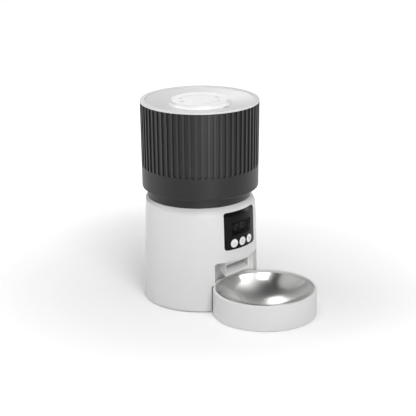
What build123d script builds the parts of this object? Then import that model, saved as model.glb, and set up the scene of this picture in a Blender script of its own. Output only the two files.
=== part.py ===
from build123d import *
import math
import os

# Automatic pet feeder: a drum-shaped base with a gear-driven rotor, a fluted food hopper with
# a locking lid, and a bowl holder that docks in the base's front recess.
# Frame: origin on the body axis at floor level, front towards -Y, up along +Z, sizes in mm.

os.makedirs("parts", exist_ok=True)

# ---------------------------------------------------------------- driving sizes

# general fits
fit_gap = 0.3                # between faces of bodies that move past each other
shaft_gap = 0.05             # radial running clearance of a shaft in its bore
thin = 2.0                   # wall of the inner mouldings

# base shell, and the sizes that most others follow
deck_z = 157.0               # top of the deck that the hopper stands on
hopper_top_z = 309.0
knob_r = 43.7
knob_flare_r = knob_r + 2.8
base_foot_r = 88.5           # outer radius at floor level
base_draft = 1.5             # degrees that the wall leans inwards
shoulder_z = deck_z - 14.5   # where the front wall starts to round over
shoulder_r = 25.0            # radius of the rounded shoulder
shoulder_clear = 0.15        # how far the shoulder's own wall stands outside the shell's
shell_top_z = deck_z + 4.5
shell_wall = 2.4
shell_floor_gap = 1.5        # bottom edge of the shell above the floor
deck_t = 2.5

# bottom cover, foot ring and case screws
cover_z = 2.0
cover_t = 2.5
cover_r = base_foot_r - 2.8
foot_ring_in_r = base_foot_r - 18.5
foot_ring_out_r = base_foot_r - 12.5
foot_ring_groove = 1.0
screw_ring_r = base_foot_r - 8.5
screw_angles = (16, 164, 208, 332)
case_boss_r = 4.2
case_boss_h = 30.0
case_rib_l = 7.0             # rib between a boss and the wall
case_screw_r = 1.4
case_screw_head_r = 3.0
case_screw_head_t = 1.4
case_screw_l = 12.0
cross_slot_l = 3.4
cross_slot_w = 0.8

# battery bay for three large round cells side by side
bay_half_x = 53.0
bay_front_y = -32.0
bay_back_y = 36.0
bay_top_z = 41.0
cell_pitch = 34.4
hinge_barrel_r = 1.4
hinge_pin_r = 0.9
hinge_half_x = 40.0
hinge_pin_l = 3.0
door_t = 2.0
door_groove_l = 24.0
door_groove_w = 5.0
hinge_ear_l = 4.2
contact_plate = 12.0
contact_t = 0.6
spring_r = 6.0
spring_wire = 1.4
spring_turns = 4

# docking recess and bowl holder
tray_r = 78.6
tray_top_z = 39.9
tray_y = -(base_foot_r + tray_r - 36.7)     # the bowl holder's axis
tray_floor_z = 1.2
tray_floor_t = 2.5
tray_rim_w = 3.7
tray_step = 3.1              # depth of the seat that takes the bowl's flange
tray_seat_w = 4.4
tray_inner_wall = 2.0
tray_outer_wall = 2.5
tray_skirt_z = 0.6           # bottom edge of the outer wall
dock_gap = 1.2               # between the holder and the recess's back wall
dock_half_x = 48.0
dock_top_z = 76.0
dock_corner_r = 5.0
pad_r = 6.0
pad_ring_r = tray_r - 18.6
bowl_t = 0.9
bowl_depth = 25.0

# food chute
chute_half_x = 27.0
chute_front_y = 24.5 - base_foot_r
chute_back_y = chute_front_y + 34.0
chute_knee_z = 82.5          # where the back wall turns into the slide
chute_lip_y = 13.5 - base_foot_r
chute_lip_z = 50.5
mouth_top_z = 68.0
sensor_r = 2.5
sensor_l = 8.0
sensor_z = 100.0

# control panel, display and buttons
panel_half_x = 33.5
panel_top_z = deck_z - 4.0
panel_low_z = panel_top_z - 58.4
panel_corner_r = 5.0
panel_t = 1.7
panel_proud = 0.3
panel_ledge = 1.5
window_half_x = 20.5
window_top_z = panel_top_z - 16.0
window_low_z = window_top_z - 21.0
window_t = 1.2
window_corner_r = 1.6
board_y = 19.6 - base_foot_r # back face of the circuit board
board_t = 1.6
board_half_x = panel_half_x - 6.0
board_low_z = panel_low_z + 2.4
board_top_z = panel_top_z - 3.0
display_t = 8.0
display_margin = 2.0
post_r = 2.0
post_inset = 3.5
low_post_z = window_low_z - 3.0
button_r = 6.5
button_z = panel_low_z + 9.4
button_step = 11.2           # degrees between neighbouring buttons
button_proud = 0.8
button_travel = 0.9
button_stem_r = 2.5
button_flange_w = 0.9
button_flange_t = 1.2
button_edge_r = 0.8
switch_size = 6.0
switch_t = 3.0
names = ("left", "centre", "right")

# power inlet
inlet_z = 22.0
inlet_r = 5.5
inlet_l = 14.0
inlet_hole_r = 2.8
inlet_hole_l = 9.0
inlet_pin_r = 1.0

# gear train: motor pinion 12, first gear 40 and 12, second gear 40 and 14, output gear 42
gear_module = 1.0
pressure_angle = 25.0
backlash = 0.12              # taken off each tooth's thickness
addendum = 0.9
dedendum = 1.2
flank_steps = 5
pinion_teeth = 12
wheel_teeth = 40
last_pinion_teeth = 14
output_teeth = 42
gear_face = 7.0
gear_layer = 8.0             # height from one pair of gears to the next
second_angle = 15.0          # from the output shaft to the second gear
first_angle = 115.0          # from the second gear to the first gear
motor_angle = 170.0          # from the first gear to the motor
gear_hub_r = 3.0
gear_pin_r = 1.5
gear_air = 2.0               # between the gears and the housing's wall
housing_lid_t = 2.0
motor_shaft_r = 1.0
motor_r = 12.1
motor_l = 30.7
motor_boss_r = 3.5
output_hub_r = 5.0
output_foot_r = 3.0
bush_r = 7.0
hex_flats = 8.0
hex_top_z = deck_z + 17.0
gearbox_screws_at = ((-27.5, -8.0), (31.0, -19.5), (46.0, 36.0), (-23.0, 47.0))
gearbox_ear_r = 4.5
gearbox_screw_r = 1.5
gearbox_screw_head_r = 2.8
gearbox_screw_head_t = 2.0

# hopper
neck_r = base_foot_r - 13.5
collar_r = neck_r + 3.6      # round collar outside the neck
collar_y = 3.5               # its axis, nearer to the back than the neck's
neck_wall = 2.4
hopper_top_r = base_foot_r + 2.0
hopper_low_r = hopper_top_r - 1.4
hopper_low_z = deck_z + 19.4
hopper_wall = 3.7
hopper_floor_t = 2.5
hopper_edge_r = 3.0          # rounding of the hopper's lowest outer edge
flute_count = 60
flute_w = 6.2
flute_depth = 2.0
flute_low_z = hopper_low_z + 37.6
lip_z = hopper_top_z - 15.2  # underside of the lip that the lock tongues catch
lip_t = 3.0
lip_in_r = hopper_top_r - 5.9
outlet_margin = 1.0          # hopper outlet edge inside the chute's edge

# funnel and outlet guard
funnel_t = 2.2
funnel_neck_h = 7.4
funnel_cone_h = 10.0
funnel_rim_h = 4.0
funnel_gap = 0.6
guard_half_angle = 50.0
guard_in_r = 24.0
guard_t = 2.0

# rotor
rotor_vanes = 6
vane_t = 3.0
vane_r = neck_r - 8.0        # rigid part of each vane
blade_t = 1.6
blade_r = neck_r - 3.0       # soft tip of each vane
vane_low = 0.6               # above the hopper's floor
vane_top_z = deck_z + 26.0
rotor_hub_r = 11.0
rotor_hub_top_z = vane_top_z + 6.0
blade_slot_l = 8.0           # how deep each soft blade sits in its vane
spigot_r = 8.0
cap_r = 20.0
cap_h = 22.0
cap_tip_r = 3.0
cap_fin_l = 14.0
cap_fin_t = 3.0
cap_fin_h = 12.0

# lid
lid_top_z = hopper_top_z + 2.5
lid_rim_in_r = hopper_top_r - 6.5
lid_well_r = knob_flare_r + 2.0
lid_well_z = hopper_top_z - 4.5
lid_t = 2.5
skirt_r = hopper_top_r - 6.3
skirt_t = 2.0
skirt_low_z = hopper_top_z - 21.0
seal_r = skirt_r + 2.1
seal_low_z = hopper_top_z - 4.6
seal_h = 3.0
lid_boss_r = 3.5
lid_boss_ring_r = 60.0
lid_boss_angles = (30, 150, 270)
lid_screw_r = 1.3
lid_screw_l = 9.0
lid_screw_head_r = 2.8
lid_screw_head_t = 1.6

# lid lock
knob_top_z = hopper_top_z + 2.2
knob_t = 2.5
knob_stem_r = 8.0
knob_dish = 0.8
cam_r = knob_r - 3.7
cam_t = 2.5
cam_z = hopper_top_z - 14.6
cam_hex = 10.0
knob_turn = 60.0             # degrees from open to locked
tongue_angles = (90, 210, 330)
tongue_w = 16.0
tongue_t = 3.0
tongue_in_r = 22.0
tongue_tip_r = skirt_r - 0.5 # at rest, drawn in
tongue_travel = 2.4
tongue_pin_r = 2.0
tongue_pin_at_r = 29.0
slot_gap = 0.2
slot_steps = 6
guide_t = 2.0
rail_w = 2.5
rail_in_r = 45.0
knob_screw_r = 1.5
knob_screw_head_r = 8.0
knob_screw_l = 10.0

# desiccant box under the lid
box_r = 24.0
box_h = 20.0
box_wall = 1.6
grille_t = 1.6
grille_slots = 5
grille_slot_w = 2.4
grille_slot_step = 2.6 * grille_slot_w
grille_slot_r = 19.0         # circle that the slots' ends follow

# ---------------------------------------------------------------- derived places

draft_cos = math.cos(math.radians(base_draft))
draft_sin = math.sin(math.radians(base_draft))
draft_tan = math.tan(math.radians(base_draft))
shoulder_wall_r = base_foot_r + collar_y + shoulder_clear - shoulder_z * draft_tan
shoulder_centre_r = shoulder_wall_r - shoulder_r * draft_cos
shoulder_centre_z = shoulder_z - shoulder_r * draft_sin
deck_low_z = deck_z - deck_t
cover_top_z = cover_z + cover_t
tray_in_r = tray_r - tray_rim_w
tray_seat_z = tray_top_z - tray_step
tray_seat_in_r = tray_in_r - tray_seat_w
board_front_y = board_y - board_t
hopper_step_z = hopper_low_z + neck_wall
hopper_floor_z = deck_z + hopper_floor_t
lid_low_z = hopper_top_z

# gear heights, from the deck down
gearbox_top_z = deck_low_z
housing_top_z = gearbox_top_z - housing_lid_t
output_gear_z = housing_top_z - 1.0 - gear_face
second_wheel_z = output_gear_z - gear_layer
first_wheel_z = second_wheel_z - gear_layer
housing_floor_z = first_wheel_z - 1.0
housing_low_z = housing_floor_z - thin


def polar(radius, angle, start=(0.0, 0.0)):
    """Point at a radius and an angle in degrees from a start point."""
    turn = math.radians(angle)
    return (start[0] + radius * math.cos(turn), start[1] + radius * math.sin(turn))


last_pair_distance = gear_module * (last_pinion_teeth + output_teeth) / 2
pair_distance = gear_module * (pinion_teeth + wheel_teeth) / 2
output_at = (0.0, 0.0)
second_at = polar(last_pair_distance, second_angle, output_at)
first_at = polar(pair_distance, first_angle, second_at)
motor_at = polar(pair_distance, motor_angle, first_at)


def hopper_outer_r(z):
    """Outer radius of the hopper's tapered wall at a height."""
    share = (z - hopper_low_z) / (hopper_top_z - hopper_low_z)
    return hopper_low_r + share * (hopper_top_r - hopper_low_r)


# ---------------------------------------------------------------- shared shapes


def body_solid(grow):
    """The base's outer form, offset by grow: a drafted drum, cut by a rounded shoulder that is
    turned about the collar's axis, so that it is deep in front and runs out at the back."""
    wall_top = (shoulder_centre_r + (shoulder_r + grow) * draft_cos,
                shoulder_centre_z + (shoulder_r + grow) * draft_sin)
    arc_mid = polar(shoulder_r + grow, 45 + base_draft / 2, (shoulder_centre_r, shoulder_centre_z))
    arc_top_z = shoulder_centre_z + shoulder_r + grow
    foot_r = shoulder_wall_r + shoulder_z * draft_tan + grow / draft_cos
    with BuildPart() as shoulder:
        with BuildSketch(Plane.XZ.offset(-collar_y)):
            with BuildLine():
                Polyline((0, arc_top_z), (0, 0), (foot_r, 0), wall_top)
                ThreePointArc(wall_top, arc_mid, (shoulder_centre_r, arc_top_z))
                Line((shoulder_centre_r, arc_top_z), (0, arc_top_z))
            make_face()
        revolve(axis=Axis((0, collar_y, 0), (0, 0, 1)))
    drum_top_z = shell_top_z + grow
    with BuildPart() as solid:
        with BuildSketch(Plane.XZ):
            Polygon((0, 0), (base_foot_r + grow / draft_cos, 0),
                    (base_foot_r + grow / draft_cos - drum_top_z * draft_tan, drum_top_z),
                    (0, drum_top_z), align=None)
        revolve(axis=Axis.Z)
        add(shoulder.part, mode=Mode.INTERSECT)
    return solid.part


def dock_space(grow):
    """The docking recess's room, offset by grow: a round bay for the bowl holder, and a taller
    bay between two flat sides under a flat ceiling."""
    height = dock_top_z + grow
    with BuildPart() as space:
        with BuildSketch(Plane.XY):
            with Locations((0, tray_y)):
                Circle(tray_r + dock_gap + grow)
        extrude(amount=height)
        with BuildSketch(Plane.XZ.offset(base_foot_r - 68.5)):
            with Locations((0, 0)):
                RectangleRounded(2 * (dock_half_x + grow), 2 * height, dock_corner_r + grow)
        extrude(amount=100, mode=Mode.INTERSECT)
        with BuildSketch(Plane.XY):
            with Locations((0, tray_y)):
                Circle(tray_r + dock_gap + grow)
        extrude(amount=tray_top_z + dock_gap + grow)
    return space.part


def front_prism(half_x, low_z, top_z, corner_r, shrink=0.0):
    """A bar with rounded corners that runs through the base's front wall along Y."""
    with BuildPart() as prism:
        with BuildSketch(Plane.XZ.offset(base_foot_r - 28.5)):
            with Locations((0, (low_z + top_z) / 2)):
                RectangleRounded(2 * (half_x - shrink), top_z - low_z - 2 * shrink,
                                 corner_r - shrink * 0.6)
        extrude(amount=40)
    return prism.part


def chute_outline(inset):
    """Chute section on the YZ plane: straight drop, then a slide that leaves the recess."""
    if inset:
        return [(chute_back_y - inset, deck_low_z + 1), (chute_back_y - inset, chute_knee_z + inset),
                (chute_lip_y - 1, chute_lip_z + 1.4 * inset), (chute_lip_y - 1, mouth_top_z),
                (chute_lip_y + inset, mouth_top_z), (chute_lip_y + inset, dock_top_z - 0.5 * inset),
                (chute_front_y + inset, dock_top_z + 10 - 0.5 * inset),
                (chute_front_y + inset, deck_low_z + 1)]
    return [(chute_back_y, deck_low_z), (chute_back_y, chute_knee_z), (chute_lip_y, chute_lip_z),
            (chute_lip_y, dock_top_z), (chute_front_y, dock_top_z + 10), (chute_front_y, deck_low_z)]


def chute_bar(half_x, outline):
    """A chute section extruded evenly to both sides of the feeder's middle plane."""
    with BuildPart() as bar:
        with BuildSketch(Plane.YZ):
            Polygon(*outline, align=None)
        extrude(amount=half_x, both=True)
    return bar.part


def button_plane(index):
    """Plane square to a button's radial axis, at the body axis; index is -1, 0 or 1."""
    turn = math.radians(index * button_step)
    return Plane(origin=(0, 0, button_z), x_dir=(math.cos(turn), math.sin(turn), 0),
                 z_dir=(math.sin(turn), -math.cos(turn), 0))


def involute(angle):
    """Involute of an angle in radians."""
    return math.tan(angle) - angle


def gear_outline(teeth, tooth_angle):
    """Points round a spur gear with involute flanks and one tooth centred on tooth_angle."""
    pitch_r = gear_module * teeth / 2
    flank_angle = math.radians(pressure_angle)
    base_r = pitch_r * math.cos(flank_angle)
    root_r = pitch_r - dedendum * gear_module
    tip_r = pitch_r + addendum * gear_module
    low_r = max(base_r, root_r)
    pitch_half = math.pi / (2 * teeth) - backlash / (2 * pitch_r)
    flank = []
    if root_r < base_r:
        flank.append((root_r, pitch_half + involute(flank_angle)))
    for step in range(flank_steps + 1):
        radius = low_r + (tip_r - low_r) * step / flank_steps
        half = pitch_half + involute(flank_angle) - involute(math.acos(base_r / radius))
        flank.append((radius, half))
    points = []
    for tooth in range(teeth):
        middle = tooth_angle + 360 * tooth / teeth
        points += [polar(radius, middle - math.degrees(half)) for radius, half in flank]
        points += [polar(radius, middle + math.degrees(half)) for radius, half in reversed(flank)]
    return points


def gear_layer_at(place, teeth, tooth_angle, low_z):
    """One toothed layer of a gear, at its place and height."""
    with BuildPart() as layer:
        with BuildSketch(Plane.XY.offset(low_z)):
            with Locations(place):
                Polygon(*gear_outline(teeth, tooth_angle), align=None)
        extrude(amount=gear_face)
    return layer.part


def gear_room(clear):
    """Outline round the whole gear train, kept clear of the tooth tips."""
    with BuildSketch() as room:
        with Locations(output_at):
            Circle(gear_module * (output_teeth / 2 + addendum) + clear)
        with Locations(second_at, first_at):
            Circle(gear_module * (wheel_teeth / 2 + addendum) + clear)
        with Locations(motor_at):
            Circle(gear_module * (pinion_teeth / 2 + addendum) + clear)
        make_hull()
    return room.sketch


def housing_outline():
    """Gearbox outline with its four screw ears."""
    with BuildSketch() as outline:
        add(gear_room(gear_air + thin))
        with Locations(*gearbox_screws_at):
            Circle(gearbox_ear_r)
        make_hull()
    return outline.sketch


# ================================================================ base

with BuildPart() as hollow:
    add(body_solid(-shell_wall))
    with BuildSketch(Plane.XY.offset(deck_low_z)):
        Circle(base_foot_r)
    extrude(amount=shoulder_r, mode=Mode.SUBTRACT)
    add(dock_space(shell_wall), mode=Mode.SUBTRACT)

with BuildPart() as panel_pocket:
    add(body_solid(2))
    add(body_solid(-panel_t), mode=Mode.SUBTRACT)
    add(front_prism(panel_half_x, panel_low_z, panel_top_z, panel_corner_r), mode=Mode.INTERSECT)

with BuildPart() as base_shell:
    add(body_solid(0))
    add(hollow.part, mode=Mode.SUBTRACT)
    # screw bosses, each tied to the wall by a rib
    with BuildSketch(Plane.XY.offset(cover_top_z)):
        for angle in screw_angles:
            with Locations(polar(screw_ring_r, angle)):
                Circle(case_boss_r)
            with Locations(Location((*polar(screw_ring_r + case_rib_l / 2, angle), 0), (0, 0, angle))):
                Rectangle(case_rib_l, thin)
    extrude(amount=case_boss_h)
    with BuildSketch(Plane.XY.offset(cover_top_z)):
        with Locations(*[polar(screw_ring_r, angle) for angle in screw_angles]):
            Circle(case_screw_r)
    extrude(amount=case_screw_l + 1, mode=Mode.SUBTRACT)
    # seat for the hopper's neck
    with BuildSketch(Plane.XY.offset(deck_z)):
        with Locations((0, collar_y)):
            Circle(collar_r + fit_gap)
    extrude(amount=shoulder_r, mode=Mode.SUBTRACT)
    # docking recess, with the chute's spout let through its ceiling and back wall
    add(dock_space(0), mode=Mode.SUBTRACT)
    add(chute_bar(chute_half_x, chute_outline(0)), mode=Mode.SUBTRACT)
    # outlet through the deck
    with BuildSketch(Plane.XY.offset(deck_low_z)):
        with Locations((0, (chute_front_y + chute_back_y) / 2)):
            Rectangle(2 * (chute_half_x - thin), chute_back_y - chute_front_y - 2 * thin)
        Circle(bush_r)
    extrude(amount=deck_t, mode=Mode.SUBTRACT)
    # blind holes for the gearbox screws
    with BuildSketch(Plane.XY.offset(deck_low_z)):
        with Locations(*gearbox_screws_at):
            Circle(gearbox_screw_r)
    extrude(amount=deck_t - 1, mode=Mode.SUBTRACT)
    # pocket and opening for the control panel
    add(panel_pocket.part, mode=Mode.SUBTRACT)
    add(front_prism(panel_half_x, panel_low_z, panel_top_z, panel_corner_r, panel_ledge),
        mode=Mode.SUBTRACT)
    # hole for the power inlet, at the back
    with BuildSketch(Plane.XZ.offset(-base_foot_r - 1)):
        with Locations((0, inlet_z)):
            Circle(inlet_r)
    extrude(amount=shell_wall + 4, mode=Mode.SUBTRACT)
    # bottom edge stands off the floor
    with BuildSketch(Plane.XY):
        Circle(base_foot_r + 1)
    extrude(amount=shell_floor_gap, mode=Mode.SUBTRACT)
base_shell.part.label = "base_shell"
export_step(base_shell.part, "parts/base_shell.step")

with BuildPart() as bottom_cover:
    with BuildSketch(Plane.XY.offset(cover_z)):
        Circle(cover_r)
    extrude(amount=cover_t)
    # battery bay walls and roof, open downwards
    bay_middle_y = (bay_front_y + bay_back_y) / 2
    bay_length = bay_back_y - bay_front_y
    with BuildSketch(Plane.XY.offset(cover_z)):
        with Locations((0, bay_middle_y)):
            Rectangle(2 * (bay_half_x + thin), bay_length + 2 * thin)
    extrude(amount=bay_top_z + thin - cover_z)
    with BuildSketch(Plane.XY.offset(cover_z)):
        with Locations((0, bay_middle_y)):
            Rectangle(2 * bay_half_x, bay_length)
    extrude(amount=bay_top_z - cover_z, mode=Mode.SUBTRACT)
    # hinge ears with their pin holes
    hinge_y = bay_back_y - hinge_barrel_r - 2 * fit_gap
    hinge_z = cover_z + hinge_barrel_r
    ear_w = hinge_pin_l + fit_gap
    with BuildSketch(Plane.XY.offset(cover_z)):
        for side in (-1, 1):
            with Locations((side * (hinge_half_x + fit_gap + ear_w / 2),
                            bay_back_y + 0.1 - hinge_ear_l / 2)):
                Rectangle(ear_w, hinge_ear_l)
    extrude(amount=2 * hinge_barrel_r + 1)
    with BuildSketch(Plane.YZ.offset(-hinge_half_x - 2 * ear_w)):
        with Locations((hinge_y, hinge_z)):
            Circle(hinge_pin_r + shaft_gap)
    extrude(amount=2 * hinge_half_x + 4 * ear_w, mode=Mode.SUBTRACT)
    # recess, foot ring groove, screw holes with room for their heads
    add(dock_space(shell_wall + fit_gap), mode=Mode.SUBTRACT)
    with BuildSketch(Plane.XY.offset(cover_z)):
        Circle(foot_ring_out_r)
        Circle(foot_ring_in_r, mode=Mode.SUBTRACT)
    extrude(amount=foot_ring_groove, mode=Mode.SUBTRACT)
    with BuildSketch(Plane.XY.offset(cover_z)):
        with Locations(*[polar(screw_ring_r, angle) for angle in screw_angles]):
            Circle(case_screw_r)
    extrude(amount=cover_t, mode=Mode.SUBTRACT)
    with BuildSketch(Plane.XY.offset(cover_z)):
        with Locations(*[polar(screw_ring_r, angle) for angle in screw_angles]):
            Circle(case_screw_head_r)
    extrude(amount=case_screw_head_t, mode=Mode.SUBTRACT)
bottom_cover.part.label = "bottom_cover"
export_step(bottom_cover.part, "parts/bottom_cover.step")

with BuildPart() as foot_ring:
    with BuildSketch(Plane.XY):
        Circle(foot_ring_out_r)
        Circle(foot_ring_in_r, mode=Mode.SUBTRACT)
        with Locations((0, -foot_ring_out_r)):
            Rectangle(2 * (dock_half_x + shell_wall + 2), foot_ring_out_r, mode=Mode.SUBTRACT)
    extrude(amount=cover_z + foot_ring_groove)
foot_ring.part.label = "foot_ring"
export_step(foot_ring.part, "parts/foot_ring.step")

with BuildPart() as case_screws:
    with BuildSketch(Plane.XY.offset(cover_z)):
        with Locations(*[polar(screw_ring_r, angle) for angle in screw_angles]):
            Circle(case_screw_head_r)
    extrude(amount=case_screw_head_t)
    with BuildSketch(Plane.XY.offset(cover_z + case_screw_head_t)):
        with Locations(*[polar(screw_ring_r, angle) for angle in screw_angles]):
            Circle(case_screw_r)
    extrude(amount=case_screw_l)
    with BuildSketch(Plane.XY.offset(cover_z)):
        for angle in screw_angles:
            with Locations(polar(screw_ring_r, angle)):
                Rectangle(cross_slot_l, cross_slot_w)
                Rectangle(cross_slot_w, cross_slot_l)
    extrude(amount=case_screw_head_t / 2, mode=Mode.SUBTRACT)
case_screws.part.label = "case_screws"
export_step(case_screws.part, "parts/case_screws.step")

with BuildPart() as battery_door:
    door_front_y = bay_front_y + fit_gap
    plate_back_y = bay_back_y - door_groove_w
    with BuildSketch(Plane.XY.offset(cover_z)):
        with Locations((0, (door_front_y + plate_back_y) / 2)):
            Rectangle(2 * (bay_half_x - fit_gap), plate_back_y - door_front_y)
        with Locations((0, (plate_back_y + hinge_y) / 2)):
            Rectangle(2 * hinge_half_x, hinge_y - plate_back_y)
    extrude(amount=door_t)
    with BuildSketch(Plane.YZ.offset(-hinge_half_x)):
        with Locations((hinge_y, hinge_z)):
            Circle(hinge_barrel_r)
    extrude(amount=2 * hinge_half_x)
    with BuildSketch(Plane.YZ.offset(-hinge_half_x - hinge_pin_l)):
        with Locations((hinge_y, hinge_z)):
            Circle(hinge_pin_r)
    extrude(amount=2 * (hinge_half_x + hinge_pin_l))
    # finger groove near the front edge
    with BuildSketch(Plane.XY.offset(cover_z)):
        with Locations((0, door_front_y + door_groove_w + 1)):
            SlotOverall(door_groove_l, door_groove_w)
    extrude(amount=door_t / 2, mode=Mode.SUBTRACT)
battery_door.part.label = "battery_door"
export_step(battery_door.part, "parts/battery_door.step")

cell_xs = (-cell_pitch, 0.0, cell_pitch)
contact_z = (cover_z + door_t + bay_top_z) / 2 + 3
with BuildPart() as battery_contacts:
    # flat plates at the back, springs on plates at the front
    with BuildSketch(Plane.XZ.offset(-bay_back_y)):
        for cell_x in cell_xs:
            with Locations((cell_x, contact_z)):
                Rectangle(contact_plate, contact_plate)
    extrude(amount=contact_t)
    with BuildSketch(Plane.XZ.offset(-bay_front_y - contact_t)):
        for cell_x in cell_xs:
            with Locations((cell_x, contact_z)):
                Rectangle(contact_plate + 2, contact_plate)
    extrude(amount=contact_t)
    # each spring as stepped rings that narrow towards its cell
    for turn in range(spring_turns):
        with BuildSketch(Plane.XZ.offset(-bay_front_y - 2 * contact_t - turn)):
            for cell_x in cell_xs:
                with Locations((cell_x, contact_z)):
                    Circle(spring_r - turn)
                    Circle(spring_r - spring_wire - turn, mode=Mode.SUBTRACT)
        extrude(amount=1.0 if turn else contact_t)
battery_contacts.part.label = "battery_contacts"
export_step(battery_contacts.part, "parts/battery_contacts.step")

with BuildPart() as inlet_socket:
    inlet_face_y = base_foot_r - inlet_z * draft_tan + 0.4
    with BuildSketch(Plane.XZ.offset(-inlet_face_y)):
        with Locations((0, inlet_z)):
            Circle(inlet_r)
    extrude(amount=inlet_l)
    with BuildSketch(Plane.XZ.offset(-inlet_face_y)):
        with Locations((0, inlet_z)):
            Circle(inlet_hole_r)
            Circle(inlet_pin_r, mode=Mode.SUBTRACT)
    extrude(amount=inlet_hole_l, mode=Mode.SUBTRACT)
inlet_socket.part.label = "inlet_socket"
export_step(inlet_socket.part, "parts/inlet_socket.step")

with BuildPart() as chute:
    add(chute_bar(chute_half_x, chute_outline(0)))
    add(chute_bar(chute_half_x - thin, chute_outline(thin)), mode=Mode.SUBTRACT)
    # ports for the level sensors in both side walls
    sensor_y = (chute_front_y + chute_back_y) / 2
    with BuildSketch(Plane.YZ.offset(-chute_half_x)):
        with Locations((sensor_y, sensor_z)):
            Circle(sensor_r)
    extrude(amount=2 * chute_half_x, mode=Mode.SUBTRACT)
chute.part.label = "chute"
export_step(chute.part, "parts/chute.step")

with BuildPart() as chute_sensors:
    with BuildSketch(Plane.YZ.offset(-chute_half_x - sensor_l)):
        with Locations((sensor_y, sensor_z)):
            Circle(sensor_r)
    extrude(amount=sensor_l + thin)
    with BuildSketch(Plane.YZ.offset(chute_half_x - thin)):
        with Locations((sensor_y, sensor_z)):
            Circle(sensor_r)
    extrude(amount=sensor_l + thin)
chute_sensors.part.label = "chute_sensors"
export_step(chute_sensors.part, "parts/chute_sensors.step")

# ================================================================ gearbox

with BuildPart() as gearbox_tray:
    with BuildSketch(Plane.XY.offset(housing_low_z)):
        add(housing_outline())
    extrude(amount=housing_top_z - housing_low_z)
    with BuildSketch(Plane.XY.offset(housing_floor_z)):
        add(gear_room(gear_air))
    extrude(amount=housing_top_z - housing_floor_z, mode=Mode.SUBTRACT)
    with BuildSketch(Plane.XY.offset(housing_low_z)):
        with Locations(output_at):
            Circle(output_foot_r + shaft_gap)
        with Locations(second_at, first_at):
            Circle(gear_pin_r)
        with Locations(motor_at):
            Circle(motor_boss_r)
        with Locations(*gearbox_screws_at):
            Circle(gearbox_screw_r)
    extrude(amount=housing_top_z - housing_low_z, mode=Mode.SUBTRACT)
gearbox_tray.part.label = "gearbox_tray"
export_step(gearbox_tray.part, "parts/gearbox_tray.step")

with BuildPart() as gearbox_lid:
    with BuildSketch(Plane.XY.offset(housing_top_z)):
        add(housing_outline())
        with Locations(output_at):
            Circle(bush_r, mode=Mode.SUBTRACT)
        with Locations(second_at, first_at):
            Circle(gear_pin_r, mode=Mode.SUBTRACT)
        with Locations(*gearbox_screws_at):
            Circle(gearbox_screw_r, mode=Mode.SUBTRACT)
    extrude(amount=housing_lid_t)
gearbox_lid.part.label = "gearbox_lid"
export_step(gearbox_lid.part, "parts/gearbox_lid.step")

with BuildPart() as gearbox_screws:
    with BuildSketch(Plane.XY.offset(housing_low_z - gearbox_screw_head_t)):
        with Locations(*gearbox_screws_at):
            Circle(gearbox_screw_head_r)
    extrude(amount=gearbox_screw_head_t)
    with BuildSketch(Plane.XY.offset(housing_low_z)):
        with Locations(*gearbox_screws_at):
            Circle(gearbox_screw_r)
    extrude(amount=deck_z - 1 - housing_low_z)
gearbox_screws.part.label = "gearbox_screws"
export_step(gearbox_screws.part, "parts/gearbox_screws.step")

with BuildPart() as gear_pins:
    with BuildSketch(Plane.XY.offset(housing_low_z)):
        with Locations(second_at, first_at):
            Circle(gear_pin_r)
    extrude(amount=gearbox_top_z - housing_low_z)
gear_pins.part.label = "gear_pins"
export_step(gear_pins.part, "parts/gear_pins.step")

with BuildPart() as shaft_bush:
    with BuildSketch(Plane.XY.offset(housing_top_z)):
        Circle(bush_r)
        Circle(output_hub_r + shaft_gap, mode=Mode.SUBTRACT)
    extrude(amount=deck_z - housing_top_z)
shaft_bush.part.label = "shaft_bush"
export_step(shaft_bush.part, "parts/shaft_bush.step")

with BuildPart() as motor:
    with BuildSketch(Plane.XY.offset(housing_low_z - motor_l)):
        with Locations(motor_at):
            Circle(motor_r)
    extrude(amount=motor_l)
    chamfer(motor.edges().filter_by(GeomType.CIRCLE), length=0.8)
    with BuildSketch(Plane.XY.offset(housing_low_z)):
        with Locations(motor_at):
            Circle(motor_boss_r)
    extrude(amount=thin)
    with BuildSketch(Plane.XY.offset(housing_low_z - motor_l / 2)):
        with Locations(motor_at):
            Circle(motor_shaft_r + shaft_gap)
    extrude(amount=motor_l, mode=Mode.SUBTRACT)
motor.part.label = "motor"
export_step(motor.part, "parts/motor.step")

# teeth meet at rest: each pair has a tooth of one on the line of centres and a gap of the other
with BuildPart() as motor_pinion:
    add(gear_layer_at(motor_at, pinion_teeth, motor_angle + 180, first_wheel_z))
    with BuildSketch(Plane.XY.offset(housing_low_z - motor_l / 2 + 0.5)):
        with Locations(motor_at):
            Circle(motor_shaft_r)
    extrude(amount=motor_l / 2 + thin + 1 + gear_face)
motor_pinion.part.label = "motor_pinion"
export_step(motor_pinion.part, "parts/motor_pinion.step")

with BuildPart() as first_gear:
    add(gear_layer_at(first_at, wheel_teeth, motor_angle + 180 / wheel_teeth, first_wheel_z))
    add(gear_layer_at(first_at, pinion_teeth, first_angle + 180, second_wheel_z))
    with BuildSketch(Plane.XY.offset(housing_floor_z + fit_gap)):
        with Locations(first_at):
            Circle(gear_hub_r)
    extrude(amount=housing_top_z - housing_floor_z - 2 * fit_gap)
    with BuildSketch(Plane.XY.offset(housing_floor_z)):
        with Locations(first_at):
            Circle(gear_pin_r + shaft_gap)
    extrude(amount=housing_top_z - housing_floor_z, mode=Mode.SUBTRACT)
first_gear.part.label = "first_gear"
export_step(first_gear.part, "parts/first_gear.step")

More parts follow.
